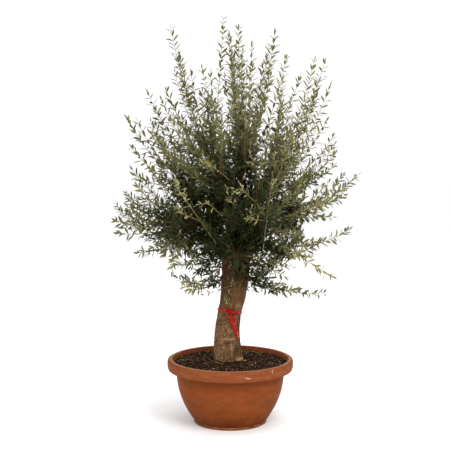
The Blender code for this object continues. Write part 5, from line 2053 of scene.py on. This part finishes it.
class OLIVE_OT_soil(Step, bpy.types.Operator):
    """Model the potting soil and what lies on it"""

    bl_idname = "olive.soil"
    bl_label = "Soil"

    def model(self, sizes, colours):
        model_soil(sizes, colours)
        model_litter(sizes, colours)
        model_weeds(sizes, colours)


class OLIVE_OT_bark(Step, bpy.types.Operator):
    """Model the trunk, the boughs and the limbs with their bark"""

    bl_idname = "olive.bark"
    bl_label = "Trunk and boughs"

    def model(self, sizes, colours):
        model_bark(sizes, colours, Plan())


class OLIVE_OT_foliage(Step, bpy.types.Operator):
    """Grow the twigs and the leaves of every mass"""

    bl_idname = "olive.foliage"
    bl_label = "Twigs and leaves"

    def model(self, sizes, colours):
        plan = Plan()
        shades = leaf_shades(colours)
        # Dark wood for leaders and the crown's heart, partly older bark and partly painted shade; pale wood
        # for young twigs
        wood = [
            plain("limb_bark", darker(tuple(colours.bark_ridge), 0.34), 0.85, 0.1),
            plain("young_bark", tuple(colours.twig), 0.75, 0.3),
        ]
        count = sum(model_mass(row[0], plan, sizes, shades, wood) for row in MASSES)
        count += model_inner(plan, sizes, shades, wood)
        print("leaves", count)


class OLIVE_OT_tape(Step, bpy.types.Operator):
    """Tie the red tape round the trunk"""

    bl_idname = "olive.tape"
    bl_label = "Tape"

    def model(self, sizes, colours):
        model_tape(sizes, colours)


class OLIVE_OT_stage(Step, bpy.types.Operator):
    """Set up the white floor, the lights and the camera"""

    bl_idname = "olive.stage"
    bl_label = "Stage"

    def model(self, sizes, colours):
        set_stage()


OPERATORS = (
    OLIVE_OT_pot, OLIVE_OT_soil, OLIVE_OT_bark, OLIVE_OT_foliage, OLIVE_OT_tape, OLIVE_OT_stage,
)


class OLIVE_PT_panel(bpy.types.Panel):
    """Sizes, colours and steps of the potted olive tree"""

    bl_idname = "OLIVE_PT_panel"
    bl_label = "Potted olive tree"
    bl_space_type = "VIEW_3D"
    bl_region_type = "UI"
    bl_category = "Olive tree"

    def draw(self, context):
        for group in (context.scene.olive_sizes, context.scene.olive_colours):
            column = self.layout.column(align=True)
            for name in group.__annotations__:
                column.prop(group, name)
        column = self.layout.column(align=True)
        for operator in OPERATORS:
            column.operator(operator.bl_idname)


CLASSES = (OliveSizes, OliveColours, *OPERATORS, OLIVE_PT_panel)


def register():
    for made in CLASSES:
        bpy.utils.register_class(made)
    bpy.types.Scene.olive_sizes = bpy.props.PointerProperty(type=OliveSizes)
    bpy.types.Scene.olive_colours = bpy.props.PointerProperty(type=OliveColours)


def unregister():
    del bpy.types.Scene.olive_colours
    del bpy.types.Scene.olive_sizes
    for made in reversed(CLASSES):
        bpy.utils.unregister_class(made)


def main():
    register()
    bpy.ops.olive.pot()
    bpy.ops.olive.soil()
    bpy.ops.olive.bark()
    bpy.ops.olive.foliage()
    bpy.ops.olive.tape()
    bpy.ops.olive.stage()


if __name__ == "__main__":
    main()
